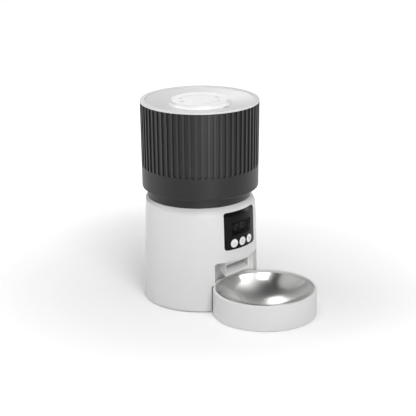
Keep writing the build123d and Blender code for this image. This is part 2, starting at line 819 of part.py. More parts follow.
with BuildPart() as second_gear:
    add(gear_layer_at(second_at, wheel_teeth, first_angle + 180 / wheel_teeth, second_wheel_z))
    add(gear_layer_at(second_at, last_pinion_teeth, second_angle + 180, output_gear_z))
    with BuildSketch(Plane.XY.offset(housing_floor_z + fit_gap)):
        with Locations(second_at):
            Circle(gear_hub_r)
    extrude(amount=housing_top_z - housing_floor_z - 2 * fit_gap)
    with BuildSketch(Plane.XY.offset(housing_floor_z)):
        with Locations(second_at):
            Circle(gear_pin_r + shaft_gap)
    extrude(amount=housing_top_z - housing_floor_z, mode=Mode.SUBTRACT)
second_gear.part.label = "second_gear"
export_step(second_gear.part, "parts/second_gear.step")

with BuildPart() as output_gear:
    add(gear_layer_at(output_at, output_teeth, second_angle + 180 / output_teeth, output_gear_z))
    with BuildSketch(Plane.XY.offset(housing_low_z)):
        Circle(output_foot_r)
    extrude(amount=thin + 1)
    with BuildSketch(Plane.XY.offset(housing_floor_z + fit_gap)):
        Circle(output_hub_r)
    extrude(amount=deck_z - housing_floor_z - fit_gap)
    with BuildSketch(Plane.XY.offset(deck_z)):
        RegularPolygon(hex_flats / 2, 6, major_radius=False)
    extrude(amount=hex_top_z - deck_z)
output_gear.part.label = "output_gear"
export_step(output_gear.part, "parts/output_gear.step")

# ================================================================ control panel

with BuildPart() as panel_posts:
    with BuildSketch(Plane.XZ.offset(-board_front_y)):
        for side in (-1, 1):
            for post_z in (low_post_z, board_top_z - post_inset):
                with Locations((side * (board_half_x - post_inset), post_z)):
                    Circle(post_r)
    extrude(amount=30)
    add(body_solid(-panel_t / 2), mode=Mode.INTERSECT)

with BuildPart() as control_panel:
    add(body_solid(panel_proud))
    add(body_solid(-panel_t), mode=Mode.SUBTRACT)
    add(front_prism(panel_half_x, panel_low_z, panel_top_z, panel_corner_r), mode=Mode.INTERSECT)
    add(panel_posts.part)
    add(front_prism(window_half_x, window_low_z, window_top_z, window_corner_r),
        mode=Mode.SUBTRACT)
    for index in (-1, 0, 1):
        with BuildSketch(button_plane(index).offset(shoulder_centre_r)):
            Circle(button_r + fit_gap)
        extrude(amount=base_foot_r - shoulder_centre_r + 2, mode=Mode.SUBTRACT)
control_panel.part.label = "control_panel"
export_step(control_panel.part, "parts/control_panel.step")

with BuildPart() as display_window:
    add(body_solid(panel_proud))
    add(body_solid(panel_proud - window_t), mode=Mode.SUBTRACT)
    add(front_prism(window_half_x, window_low_z, window_top_z, window_corner_r),
        mode=Mode.INTERSECT)
display_window.part.label = "display_window"
export_step(display_window.part, "parts/display_window.step")

with BuildPart() as display_module:
    with BuildSketch(Plane.XZ.offset(-board_front_y)):
        with Locations((0, (window_low_z + window_top_z) / 2)):
            Rectangle(2 * (window_half_x + display_margin / 2),
                      window_top_z - window_low_z + 2 * display_margin)
    extrude(amount=display_t)
display_module.part.label = "display_module"
export_step(display_module.part, "parts/display_module.step")

with BuildPart() as circuit_board:
    with BuildSketch(Plane.XZ.offset(-board_y)):
        with Locations((0, (board_low_z + board_top_z) / 2)):
            RectangleRounded(2 * board_half_x, board_top_z - board_low_z, 2)
    extrude(amount=board_t)
circuit_board.part.label = "circuit_board"
export_step(circuit_board.part, "parts/circuit_board.step")

button_face_r = base_foot_r - button_z * draft_tan + button_proud
switch_face_y = board_front_y - switch_t
button_turns = [math.radians(index * button_step) for index in (-1, 0, 1)]
switch_xs = [button_face_r * math.sin(turn) * 0.92 for turn in button_turns]
with BuildPart() as push_switches:
    with BuildSketch(Plane.XZ.offset(-board_front_y)):
        with Locations(*[(switch_x, button_z) for switch_x in switch_xs]):
            Rectangle(switch_size, switch_size)
    extrude(amount=switch_t)
push_switches.part.label = "push_switches"
export_step(push_switches.part, "parts/push_switches.step")

panel_back_r = base_foot_r - button_z * draft_tan - panel_t
flange_sag = panel_back_r - math.sqrt(panel_back_r ** 2 - (button_r + button_flange_w) ** 2)
flange_front_r = panel_back_r - flange_sag - fit_gap
for index, name, turn in zip((-1, 0, 1), names, button_turns):
    stem_end_r = ((-switch_face_y + button_travel + fit_gap) / math.cos(turn)
                  + button_stem_r * math.tan(abs(turn)))
    with BuildPart() as button:
        with BuildSketch(button_plane(index).offset(flange_front_r)):
            Circle(button_r)
        extrude(amount=button_face_r - flange_front_r)
        fillet(button.edges().filter_by(GeomType.CIRCLE).sort_by(Axis((0, 0, button_z),
               tuple(button_plane(index).z_dir)))[-1], radius=button_edge_r)
        with BuildSketch(button_plane(index).offset(flange_front_r - button_flange_t)):
            Circle(button_r + button_flange_w)
        extrude(amount=button_flange_t)
        with BuildSketch(button_plane(index).offset(stem_end_r)):
            Circle(button_stem_r)
        extrude(amount=flange_front_r - button_flange_t - stem_end_r)
    button.part.label = f"button_{name}"
    export_step(button.part, f"parts/button_{name}.step")

# ================================================================ hopper

outlet_middle_y = (chute_front_y + chute_back_y) / 2
outlet_half_x = chute_half_x - thin - outlet_margin
outlet_length = chute_back_y - chute_front_y - 2 * (thin + outlet_margin)

flute_lean = math.degrees(math.atan((hopper_top_r - hopper_low_r) / (hopper_top_z - hopper_low_z)))
flute_floor_r = hopper_outer_r(flute_low_z) - flute_depth
flute_plane = Plane(origin=(flute_floor_r, 0, flute_low_z), x_dir=(0, 1, 0),
                    z_dir=(math.cos(math.radians(flute_lean)), 0, -math.sin(math.radians(flute_lean))))
with BuildPart() as flute:
    with BuildSketch(flute_plane):
        Circle(flute_w / 2)
        with Locations((0, hopper_top_z - flute_low_z)):
            Rectangle(flute_w, 2 * (hopper_top_z - flute_low_z))
    extrude(amount=2 * flute_depth)

with BuildPart() as hopper:
    with BuildSketch(Plane.XZ):
        Polygon((0, deck_z), (neck_r, deck_z), (neck_r, hopper_low_z), (hopper_low_r, hopper_low_z),
                (hopper_top_r, hopper_top_z), (hopper_top_r - hopper_wall, hopper_top_z),
                (hopper_low_r - hopper_wall, hopper_step_z), (neck_r - neck_wall, hopper_step_z),
                (neck_r - neck_wall, hopper_floor_z), (0, hopper_floor_z), align=None)
    revolve(axis=Axis.Z)
    low_rims = hopper.edges().filter_by(GeomType.CIRCLE).filter_by_position(
        Axis.Z, hopper_low_z - fit_gap, hopper_low_z + fit_gap)
    fillet(low_rims.sort_by(SortBy.RADIUS)[-1], radius=hopper_edge_r)
    # collar that fills the base's round opening, hollow between its wall and the neck
    with BuildSketch(Plane.XY.offset(deck_z)):
        with Locations((0, collar_y)):
            Circle(collar_r)
        Circle(neck_r - neck_wall / 2, mode=Mode.SUBTRACT)
    extrude(amount=hopper_low_z - deck_z)
    with BuildSketch(Plane.XY.offset(deck_z)):
        with Locations((0, collar_y)):
            Circle(collar_r - neck_wall)
        Circle(neck_r, mode=Mode.SUBTRACT)
    extrude(amount=hopper_low_z - deck_z, mode=Mode.SUBTRACT)
    # lip that the lock tongues catch
    with BuildSketch(Plane.XY.offset(lip_z)):
        Circle(hopper_top_r - hopper_wall + 0.5)
        Circle(lip_in_r, mode=Mode.SUBTRACT)
    extrude(amount=lip_t)
    # outlet and bearing bore in the floor
    with BuildSketch(Plane.XY.offset(deck_z)):
        with Locations((0, outlet_middle_y)):
            Rectangle(2 * outlet_half_x, outlet_length)
        Circle(spigot_r + shaft_gap)
    extrude(amount=hopper_floor_t, mode=Mode.SUBTRACT)
    with PolarLocations(0, flute_count):
        add(flute.part, mode=Mode.SUBTRACT)
hopper.part.label = "hopper"
export_step(hopper.part, "parts/hopper.step")

funnel_in_r = neck_r - neck_wall
funnel_rim_r = hopper_low_r - hopper_wall - funnel_gap
cone_low_z = hopper_step_z + funnel_neck_h
cone_top_z = cone_low_z + funnel_cone_h
with BuildPart() as funnel:
    with BuildSketch(Plane.XZ):
        Polygon((funnel_in_r, hopper_step_z), (funnel_in_r + funnel_t, hopper_step_z),
                (funnel_in_r + funnel_t, cone_low_z), (funnel_rim_r, cone_top_z),
                (funnel_rim_r, cone_top_z + funnel_rim_h),
                (funnel_rim_r - funnel_t, cone_top_z + funnel_rim_h),
                (funnel_rim_r - funnel_t, cone_top_z + 0.8), (funnel_in_r, cone_low_z + 0.8),
                align=None)
    revolve(axis=Axis.Z)
    # guard over the outlet
    with BuildSketch(Plane.XY.offset(vane_top_z + 1)):
        with BuildLine():
            guard_ends = (-90 - guard_half_angle, -90 + guard_half_angle)
            guard_out_r = funnel_in_r + funnel_t / 2
            Line(polar(guard_in_r, guard_ends[0]), polar(guard_out_r, guard_ends[0]))
            ThreePointArc(polar(guard_out_r, guard_ends[0]), (0, -guard_out_r),
                          polar(guard_out_r, guard_ends[1]))
            Line(polar(guard_out_r, guard_ends[1]), polar(guard_in_r, guard_ends[1]))
            ThreePointArc(polar(guard_in_r, guard_ends[1]), (0, -guard_in_r),
                          polar(guard_in_r, guard_ends[0]))
        make_face()
    extrude(amount=guard_t)
funnel.part.label = "funnel"
export_step(funnel.part, "parts/funnel.step")

# ================================================================ rotor

vane_low_z = hopper_floor_z + vane_low
with BuildPart() as rotor:
    with BuildSketch(Plane.XY.offset(vane_low_z)):
        Circle(rotor_hub_r)
        with PolarLocations(vane_r / 2, rotor_vanes):
            Rectangle(vane_r, vane_t)
    extrude(amount=vane_top_z - vane_low_z)
    with BuildSketch(Plane.XY.offset(vane_low_z)):
        Circle(rotor_hub_r)
    extrude(amount=rotor_hub_top_z - vane_low_z)
    with BuildSketch(Plane.XY.offset(deck_z + fit_gap)):
        Circle(spigot_r)
    extrude(amount=vane_low_z - deck_z - fit_gap)
    with BuildSketch(Plane.XY.offset(deck_z)):
        RegularPolygon(hex_flats / 2 + shaft_gap, 6, major_radius=False)
    extrude(amount=hex_top_z + 1 - deck_z, mode=Mode.SUBTRACT)
    # slots that hold the soft blades
    with BuildSketch(Plane.XY.offset(vane_low_z)):
        with PolarLocations(vane_r - blade_slot_l / 2, rotor_vanes):
            Rectangle(blade_slot_l, blade_t)
    extrude(amount=vane_top_z - vane_low_z, mode=Mode.SUBTRACT)
rotor.part.label = "rotor"
export_step(rotor.part, "parts/rotor.step")

with BuildPart() as rotor_blades:
    with BuildSketch(Plane.XY.offset(vane_low_z)):
        blade_start_r = vane_r - blade_slot_l
        with PolarLocations((blade_start_r + blade_r) / 2, rotor_vanes):
            Rectangle(blade_r - blade_start_r, blade_t)
    extrude(amount=vane_top_z - vane_low_z)
rotor_blades.part.label = "rotor_blades"
export_step(rotor_blades.part, "parts/rotor_blades.step")

with BuildPart() as stirring_cap:
    with BuildSketch(Plane.XZ):
        Polygon((0, rotor_hub_top_z), (cap_r, rotor_hub_top_z), (cap_r, rotor_hub_top_z + 2),
                (cap_tip_r, rotor_hub_top_z + cap_h), (0, rotor_hub_top_z + cap_h), align=None)
    revolve(axis=Axis.Z)
    with BuildSketch(Plane.XY.offset(rotor_hub_top_z)):
        with PolarLocations(cap_r - 1, 2):
            Rectangle(cap_fin_l, cap_fin_t)
    extrude(amount=cap_fin_h)
stirring_cap.part.label = "stirring_cap"
export_step(stirring_cap.part, "parts/stirring_cap.step")

# ================================================================ lid

guide_low_z = skirt_low_z
guide_top_z = guide_low_z + guide_t
tongue_z = guide_top_z + fit_gap
lid_under_z = lid_well_z - lid_t
skirt_in_r = skirt_r - skirt_t

with BuildPart() as lid_shell:
    with BuildSketch(Plane.XZ):
        Polygon((0, lid_well_z), (lid_well_r, lid_well_z), (lid_rim_in_r - 0.8, lid_top_z - 1.4),
                (lid_rim_in_r, lid_top_z), (hopper_top_r, lid_top_z), (hopper_top_r, lid_low_z),
                (skirt_r, lid_low_z), (skirt_r, skirt_low_z), (skirt_in_r, skirt_low_z),
                (skirt_in_r, lid_low_z - 2), (lid_well_r, lid_under_z), (0, lid_under_z), align=None)
    revolve(axis=Axis.Z)
    fillet(lid_shell.edges().filter_by(GeomType.CIRCLE).group_by(Axis.Z)[-1], radius=0.7)
    # bosses for the guide plate's screws
    with BuildSketch(Plane.XY.offset(guide_top_z)):
        with Locations(*[polar(lid_boss_ring_r, angle) for angle in lid_boss_angles]):
            Circle(lid_boss_r)
    extrude(amount=lid_under_z + lid_t - guide_top_z)
    with BuildSketch(Plane.XY.offset(guide_top_z)):
        with Locations(*[polar(lid_boss_ring_r, angle) for angle in lid_boss_angles]):
            Circle(lid_screw_r)
    extrude(amount=lid_screw_l, mode=Mode.SUBTRACT)
    # bore for the knob's stem
    with BuildSketch(Plane.XY.offset(lid_under_z - 1)):
        Circle(knob_stem_r + shaft_gap)
    extrude(amount=lid_t + 2, mode=Mode.SUBTRACT)
    # windows in the skirt for the tongues
    with BuildSketch(Plane.XY.offset(guide_top_z)):
        for angle in tongue_angles:
            with Locations(Location((*polar(skirt_r, angle), 0), (0, 0, angle))):
                Rectangle(3 * skirt_t, tongue_w + 2 * fit_gap)
    extrude(amount=tongue_t + 2 * fit_gap, mode=Mode.SUBTRACT)
lid_shell.part.label = "lid_shell"
export_step(lid_shell.part, "parts/lid_shell.step")

with BuildPart() as guide_plate:
    with BuildSketch(Plane.XY.offset(guide_low_z)):
        Circle(skirt_in_r)
        with Locations(*[polar(lid_boss_ring_r, angle) for angle in lid_boss_angles]):
            Circle(lid_screw_r, mode=Mode.SUBTRACT)
    extrude(amount=guide_t)
    # rails on both sides of each tongue
    rail_out_r = skirt_in_r - 4
    with BuildSketch(Plane.XY.offset(guide_top_z)):
        for angle in tongue_angles:
            for side in (-1, 1):
                start = polar(side * (tongue_w / 2 + fit_gap + rail_w / 2), angle + 90)
                middle = polar((rail_in_r + rail_out_r) / 2, angle, start)
                with Locations(Location((*middle, 0), (0, 0, angle))):
                    Rectangle(rail_out_r - rail_in_r, rail_w)
    extrude(amount=tongue_t + 2 * fit_gap)
guide_plate.part.label = "guide_plate"
export_step(guide_plate.part, "parts/guide_plate.step")

for number, angle in enumerate(tongue_angles, start=1):
    with BuildPart() as tongue:
        with BuildSketch(Plane.XY.offset(tongue_z)):
            with Locations(Location((*polar((tongue_in_r + tongue_tip_r) / 2, angle), 0),
                                    (0, 0, angle))):
                Rectangle(tongue_tip_r - tongue_in_r, tongue_w)
        extrude(amount=tongue_t)
        with BuildSketch(Plane.XY.offset(tongue_z + tongue_t)):
            with Locations(polar(tongue_pin_at_r, angle)):
                Circle(tongue_pin_r)
        extrude(amount=cam_z + cam_t - tongue_z - tongue_t)
    tongue.part.label = f"lock_tongue_{number}"
    export_step(tongue.part, f"parts/lock_tongue_{number}.step")

with BuildPart() as lid_screws:
    with BuildSketch(Plane.XY.offset(guide_low_z - lid_screw_head_t)):
        with Locations(*[polar(lid_boss_ring_r, angle) for angle in lid_boss_angles]):
            Circle(lid_screw_head_r)
    extrude(amount=lid_screw_head_t)
    with BuildSketch(Plane.XY.offset(guide_low_z)):
        with Locations(*[polar(lid_boss_ring_r, angle) for angle in lid_boss_angles]):
            Circle(lid_screw_r)
    extrude(amount=lid_screw_l)
lid_screws.part.label = "lid_screws"
export_step(lid_screws.part, "parts/lid_screws.step")

with BuildPart() as lid_seal:
    with BuildSketch(Plane.XY.offset(seal_low_z)):
        Circle(seal_r)
        Circle(skirt_r, mode=Mode.SUBTRACT)
    extrude(amount=seal_h)
    fillet(lid_seal.edges().filter_by(GeomType.CIRCLE).sort_by(SortBy.RADIUS)[-2:], radius=0.8)
lid_seal.part.label = "lid_seal"
export_step(lid_seal.part, "parts/lid_seal.step")

with BuildPart() as lid_knob:
    knob_low_z = lid_well_z + fit_gap
    knob_under_z = knob_top_z - knob_t - knob_dish
    with BuildSketch(Plane.XZ):
        with BuildLine():
            Polyline((0, knob_top_z - knob_dish), (knob_r - 3, knob_top_z - knob_dish),
                     (knob_r - 1.6, knob_top_z), (knob_r, knob_top_z))
            ThreePointArc((knob_r, knob_top_z), (knob_r + 0.5, (knob_top_z + knob_low_z) / 2),
                          (knob_flare_r, knob_low_z))
            Polyline((knob_flare_r, knob_low_z), (knob_r - 1, knob_low_z),
                     (knob_r - 2, knob_under_z), (knob_stem_r, knob_under_z),
                     (knob_stem_r, cam_z + cam_t), (0, cam_z + cam_t), (0, knob_top_z - knob_dish))
        make_face()
    revolve(axis=Axis.Z)
    with BuildSketch(Plane.XY.offset(cam_z)):
        RegularPolygon(cam_hex / 2, 6, major_radius=False)
    extrude(amount=cam_t)
    with BuildSketch(Plane.XY.offset(cam_z)):
        Circle(knob_screw_r)
    extrude(amount=knob_screw_l, mode=Mode.SUBTRACT)
lid_knob.part.label = "lid_knob"
export_step(lid_knob.part, "parts/lid_knob.step")


def slot_point(tongue_angle, step):
    """Centre of a tongue's pin in the cam, a number of steps from open."""
    share = step / slot_steps
    return polar(tongue_pin_at_r + share * tongue_travel, tongue_angle - share * knob_turn)


with BuildPart() as lock_cam:
    with BuildSketch(Plane.XY.offset(cam_z)):
        Circle(cam_r)
        RegularPolygon(cam_hex / 2, 6, major_radius=False, mode=Mode.SUBTRACT)
        for angle in tongue_angles:
            for step in range(slot_steps):
                start = slot_point(angle, step)
                end = slot_point(angle, step + 1)
                middle = ((start[0] + end[0]) / 2, (start[1] + end[1]) / 2)
                heading = math.degrees(math.atan2(end[1] - start[1], end[0] - start[0]))
                with Locations(Location((*middle, 0), (0, 0, heading))):
                    SlotCenterToCenter(math.dist(start, end), 2 * (tongue_pin_r + slot_gap),
                                       mode=Mode.SUBTRACT)
    extrude(amount=cam_t)
lock_cam.part.label = "lock_cam"
export_step(lock_cam.part, "parts/lock_cam.step")

with BuildPart() as knob_screw:
    with BuildSketch(Plane.XY.offset(cam_z - lid_screw_head_t)):
        Circle(knob_screw_head_r)
    extrude(amount=lid_screw_head_t)
    with BuildSketch(Plane.XY.offset(cam_z)):
        Circle(knob_screw_r)
    extrude(amount=knob_screw_l)
knob_screw.part.label = "knob_screw"
export_step(knob_screw.part, "parts/knob_screw.step")

with BuildPart() as desiccant_box:
    with BuildSketch(Plane.XY.offset(guide_low_z - box_h)):
        Circle(box_r)
    extrude(amount=box_h)
    with BuildSketch(Plane.XY.offset(guide_low_z - box_h)):
        Circle(box_r - box_wall)
    extrude(amount=box_h - box_wall, mode=Mode.SUBTRACT)
desiccant_box.part.label = "desiccant_box"
export_step(desiccant_box.part, "parts/desiccant_box.step")

with BuildPart() as desiccant_grille:
    with BuildSketch(Plane.XY.offset(guide_low_z - box_h)):
        Circle(box_r - box_wall - fit_gap)
        for slot in range(grille_slots):
            slot_x = (slot - (grille_slots - 1) / 2) * grille_slot_step
            with Locations((slot_x, 0)):
                SlotOverall(2 * math.sqrt(grille_slot_r ** 2 - slot_x ** 2), grille_slot_w, rotation=90,
                            mode=Mode.SUBTRACT)
    extrude(amount=grille_t)
desiccant_grille.part.label = "desiccant_grille"
export_step(desiccant_grille.part, "parts/desiccant_grille.step")

# ================================================================ bowl holder

with BuildPart() as bowl_holder:
    with BuildSketch(Plane.XY.offset(tray_skirt_z)):
        with Locations((0, tray_y)):
            Circle(tray_r)
    extrude(amount=tray_top_z - tray_skirt_z)
    fillet(bowl_holder.edges().filter_by(GeomType.CIRCLE).sort_by(Axis.Z)[-1], radius=1.2)
    # seat for the bowl's flange, and the well under it
    with BuildSketch(Plane.XY.offset(tray_seat_z)):
        with Locations((0, tray_y)):
            Circle(tray_in_r)
    extrude(amount=tray_step, mode=Mode.SUBTRACT)
    with BuildSketch(Plane.XY.offset(tray_floor_z + tray_floor_t)):
        with Locations((0, tray_y)):
            Circle(tray_seat_in_r)
    extrude(amount=tray_seat_z - tray_floor_z - tray_floor_t, mode=Mode.SUBTRACT)
    # hollow double wall, open underneath
    with BuildSketch(Plane.XY.offset(tray_skirt_z)):
        with Locations((0, tray_y)):
            Circle(tray_r - tray_outer_wall)
            Circle(tray_seat_in_r + tray_inner_wall, mode=Mode.SUBTRACT)
    extrude(amount=tray_seat_z - tray_skirt_z - 2, mode=Mode.SUBTRACT)
    with BuildSketch(Plane.XY.offset(tray_skirt_z)):
        with Locations((0, tray_y)):
            Circle(tray_seat_in_r + tray_inner_wall)
    extrude(amount=tray_floor_z - tray_skirt_z, mode=Mode.SUBTRACT)
bowl_holder.part.label = "bowl_holder"
export_step(bowl_holder.part, "parts/bowl_holder.step")

with BuildPart() as holder_pads:
    with BuildSketch(Plane.XY):
        with Locations((0, tray_y)):
            with PolarLocations(pad_ring_r, 4, start_angle=45):
                Circle(pad_r)
    extrude(amount=tray_floor_z)
holder_pads.part.label = "holder_pads"
export_step(holder_pads.part, "parts/holder_pads.step")

with BuildPart() as steel_bowl:
    # flange on the seat, then a dish that is part of a sphere
    bowl_r = tray_in_r - fit_gap
    dish_r = tray_seat_in_r - fit_gap
    dish_sphere_r = (dish_r ** 2 + bowl_depth ** 2) / (2 * bowl_depth)
    mid_r = dish_r * 0.6
    mid_drop = math.sqrt(dish_sphere_r ** 2 - mid_r ** 2) - dish_sphere_r + bowl_depth
    with BuildSketch(Plane.XZ.offset(-tray_y)):
        with BuildLine():
            Polyline((0, tray_seat_z - bowl_depth), (0, tray_seat_z + bowl_t - bowl_depth))
            ThreePointArc((0, tray_seat_z + bowl_t - bowl_depth), (mid_r, tray_seat_z + bowl_t - mid_drop),
                          (dish_r, tray_seat_z + bowl_t))
            Polyline((dish_r, tray_seat_z + bowl_t), (bowl_r, tray_seat_z + bowl_t),
                     (bowl_r, tray_seat_z), (dish_r, tray_seat_z))
            ThreePointArc((dish_r, tray_seat_z), (mid_r, tray_seat_z - mid_drop),
                          (0, tray_seat_z - bowl_depth))
        make_face()
    revolve(axis=Axis((0, tray_y, 0), (0, 0, 1)))
steel_bowl.part.label = "steel_bowl"
export_step(steel_bowl.part, "parts/steel_bowl.step")
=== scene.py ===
import logging
import math
from dataclasses import dataclass
from enum import Enum
from typing import Any

import bmesh
import bpy
import numpy as np
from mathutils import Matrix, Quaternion, Vector


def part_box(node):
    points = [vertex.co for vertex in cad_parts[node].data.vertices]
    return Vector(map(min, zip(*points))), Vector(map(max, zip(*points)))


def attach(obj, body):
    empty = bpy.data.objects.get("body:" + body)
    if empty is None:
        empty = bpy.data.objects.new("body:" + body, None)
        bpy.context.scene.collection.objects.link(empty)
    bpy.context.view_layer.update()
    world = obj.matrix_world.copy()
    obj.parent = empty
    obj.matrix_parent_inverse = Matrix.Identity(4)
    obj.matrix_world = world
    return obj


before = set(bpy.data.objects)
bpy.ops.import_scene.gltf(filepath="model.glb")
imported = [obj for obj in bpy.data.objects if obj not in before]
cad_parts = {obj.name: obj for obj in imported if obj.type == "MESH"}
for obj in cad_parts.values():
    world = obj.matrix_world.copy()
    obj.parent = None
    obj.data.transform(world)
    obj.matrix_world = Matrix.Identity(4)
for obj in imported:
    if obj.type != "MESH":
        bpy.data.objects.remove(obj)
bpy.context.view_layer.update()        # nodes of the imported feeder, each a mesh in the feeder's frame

MM = 0.001
INK_SINK = 0.02 * MM         # how far a printed mark reaches into the face under it
LOG = logging.getLogger("feeder")


# ---------------------------------------------------------------- shader expressions


class Value:
    """A shader socket that takes part in Python arithmetic by adding Math nodes."""

    def __init__(self, tree: "Tree", socket: bpy.types.NodeSocket) -> None:
        """Keeps the socket and the tree that it belongs to."""
        self.tree = tree
        self.socket = socket

    def _math(self, operation: str, *others: Any, first: Any = None) -> "Value":
        """One Math node.

        Args:
            operation: Blender's name for the operation.
            others: The operands after this value.
            first: An operand that comes before this value, for the reflected forms.

        Returns:
            The node's result.
        """
        operands = [self, *others] if first is None else [first, self]
        return self.tree.node("ShaderNodeMath", {"operation": operation}, dict(enumerate(operands)))

    def __add__(self, other: Any) -> "Value":
        """Sum."""
        return self._math("ADD", other)

    def __radd__(self, other: Any) -> "Value":
        """Sum, with the number on the left."""
        return self._math("ADD", first=other)

    def __sub__(self, other: Any) -> "Value":
        """Difference."""
        return self._math("SUBTRACT", other)

    def __rsub__(self, other: Any) -> "Value":
        """Difference, with the number on the left."""
        return self._math("SUBTRACT", first=other)

    def __mul__(self, other: Any) -> "Value":
        """Product."""
        return self._math("MULTIPLY", other)

    def __rmul__(self, other: Any) -> "Value":
        """Product, with the number on the left."""
        return self._math("MULTIPLY", first=other)

    def __truediv__(self, other: Any) -> "Value":
        """Quotient."""
        return self._math("DIVIDE", other)

    def __pow__(self, other: Any) -> "Value":
        """Power."""
        return self._math("POWER", other)

    def root(self) -> "Value":
        """Square root."""
        return self._math("SQRT")

    def sine(self) -> "Value":
        """Sine of an angle in radians."""
        return self._math("SINE")

    def angle_with(self, other: "Value") -> "Value":
        """Angle whose tangent is this value over the other, in radians."""
        return self._math("ARCTAN2", other)

    def clamped(self) -> "Value":
        """The value held between 0 and 1."""
        return self.tree.node("ShaderNodeClamp", {}, {0: self})

    def eased(self, low: float, high: float) -> "Value":
        """0 below low, 1 above high, and a smooth step between them."""
        return self.tree.node("ShaderNodeMapRange", {"interpolation_type": "SMOOTHSTEP"},
                              {"Value": self, "From Min": low, "From Max": high})


class Tree:
    """The node tree of a material or a world, with one method that makes every node."""

    def __init__(self, owner: "str | bpy.types.World") -> None:
        """Starts an empty tree.

        Args:
            owner: The name of a new material, or a world whose own tree is emptied.
        """
        self.owner = bpy.data.materials.new(owner) if isinstance(owner, str) else owner
        self.owner.use_nodes = True
        self.nodes = self.owner.node_tree.nodes
        self.links = self.owner.node_tree.links
        self.nodes.clear()

    def node(self, kind: str, settings: dict[str, Any] | None = None,
             inputs: dict[str | int, Any] | None = None, output: str | int = 0) -> Value:
        """Adds a node.

        Args:
            kind: Blender's type name of the node.
            settings: Properties that are set first.
            inputs: Values or links of its sockets, by name or number.
            output: The socket that is handed back.

        Returns:
            The chosen output.
        """
        made = self.nodes.new(kind)
        for key, setting in (settings or {}).items():
            setattr(made, key, setting)
        for key, content in (inputs or {}).items():
            if isinstance(content, Value):
                self.links.new(content.socket, made.inputs[key])
            else:
                made.inputs[key].default_value = content
        return Value(self, made.outputs[output] if len(made.outputs) else None)

    def place(self) -> Value:
        """Object coordinates, in metres in the feeder's frame."""
        return self.node("ShaderNodeTexCoord", output="Object")

    def axes(self, centre: tuple[float, float, float] = (0, 0, 0)) -> tuple[Value, Value, Value]:
        """Object coordinates, split and measured from a centre.

        Args:
            centre: The point that counts as the origin, in metres.

        Returns:
            The x, y and z values.
        """
        moved = self.node("ShaderNodeVectorMath", {"operation": "SUBTRACT"},
                          {0: self.place(), 1: centre})
        split = self.node("ShaderNodeSeparateXYZ", {}, {0: moved})
        return tuple(Value(self, socket) for socket in split.socket.node.outputs)

    def joined(self, x: Any, y: Any, z: Any) -> Value:
        """Three values as one vector."""
        return self.node("ShaderNodeCombineXYZ", {}, {0: x, 1: y, 2: z})

    def noise(self, scale: float, detail: float = 2.0, vector: Value | None = None) -> Value:
        """Noise between 0 and 1, with so many features to the metre."""
        return self.node("ShaderNodeTexNoise", {}, {
            "Vector": vector or self.place(), "Scale": scale, "Detail": detail})

    def blend(self, factor: Any, first: Any, second: Any) -> Value:
        """Mix of two colours by a factor between 0 and 1."""
        return self.node("ShaderNodeMix", {"data_type": "RGBA"}, {
            0: factor, 6: first, 7: second}, output=2)

    def bump(self, height: Value, depth: float, under: Value | None = None) -> Value:
        """Surface relief.

        Args:
            height: The pattern, between 0 and 1.
            depth: What 1 stands for, in metres.
            under: A coarser relief that this one lies on.

        Returns:
            The normal for the shader.
        """
        inputs = {"Height": height, "Distance": depth, "Strength": 1.0}
        if under is not None:
            inputs["Normal"] = under
        return self.node("ShaderNodeBump", {}, inputs)

    def finish(self, **sockets: Any) -> bpy.types.Material:
        """Closes the tree with the surface shader.

        Args:
            sockets: The shader's sockets, with _ for each space in a name.

        Returns:
            The material.
        """
        shader = self.node("ShaderNodeBsdfPrincipled", {}, {
            key.replace("_", " "): content for key, content in sockets.items()})
        self.node("ShaderNodeOutputMaterial", {}, {"Surface": shader})
        return self.owner


Colour = tuple[float, float, float]


def paint(colour: Colour, share: float = 1.0) -> tuple[float, float, float, float]:
    """A colour with its alpha, made lighter or darker by a share."""
    return (*(min(1.0, part * share) for part in colour), 1.0)


# ---------------------------------------------------------------- finishes


class Grain(Enum):
    """Texture that a mould leaves: height and feature size, in metres."""

    POLISHED = (0.000004, 0.004)
    SATIN = (0.000012, 0.0009)
    SPARKED = (0.00003, 0.0006)


@dataclass(frozen=True)
class Moulded:
    """An injection-moulded plastic with flow marks, handling haze and the mould's grain."""

    name: str
    colour: Colour
    roughness: float
    grain: Grain = Grain.SATIN
    mottle: float = 0.03
    haze: float = 0.06
    coat: float = 0.0
    specular: float = 0.5
    flow_marks: float = 14.0                # to the metre
    haze_patches: float = 38.0              # to the metre
    sink_marks: float = 22.0                # to the metre
    sink_depth: float = 0.00004
    coat_roughness: float = 0.08

    def colour_in(self, tree: Tree) -> Value:
        """The base colour: slow flow marks, lighter and darker by the mottle."""
        marks = tree.noise(self.flow_marks, 3.0)
        return tree.blend(marks, paint(self.colour, 1 - self.mottle),
                          paint(self.colour, 1 + self.mottle))

    def roughness_in(self, tree: Tree) -> Value:
        """The roughness: patches of haze where hands and cloths have been."""
        return self.roughness + self.haze * (tree.noise(self.haze_patches, 4.0) - 0.5)

    def relief_in(self, tree: Tree) -> Value:
        """The mould's grain over a very slight sink-mark waviness.

        Args:
            tree: The material's tree.

        Returns:
            The normal for the shader.
        """
        height, size = self.grain.value
        waves = tree.bump(tree.noise(self.sink_marks, 1.0), self.sink_depth)
        return tree.bump(tree.noise(1 / size, 2.0), height, waves)

    def make(self) -> bpy.types.Material:
        """Builds the material.

        Returns:
            The material.
        """
        tree = Tree(self.name)
        return tree.finish(Base_Color=self.colour_in(tree), Roughness=self.roughness_in(tree),
                           Normal=self.relief_in(tree), Coat_Weight=self.coat,
                           Coat_Roughness=self.coat_roughness,
                           Specular_IOR_Level=self.specular)


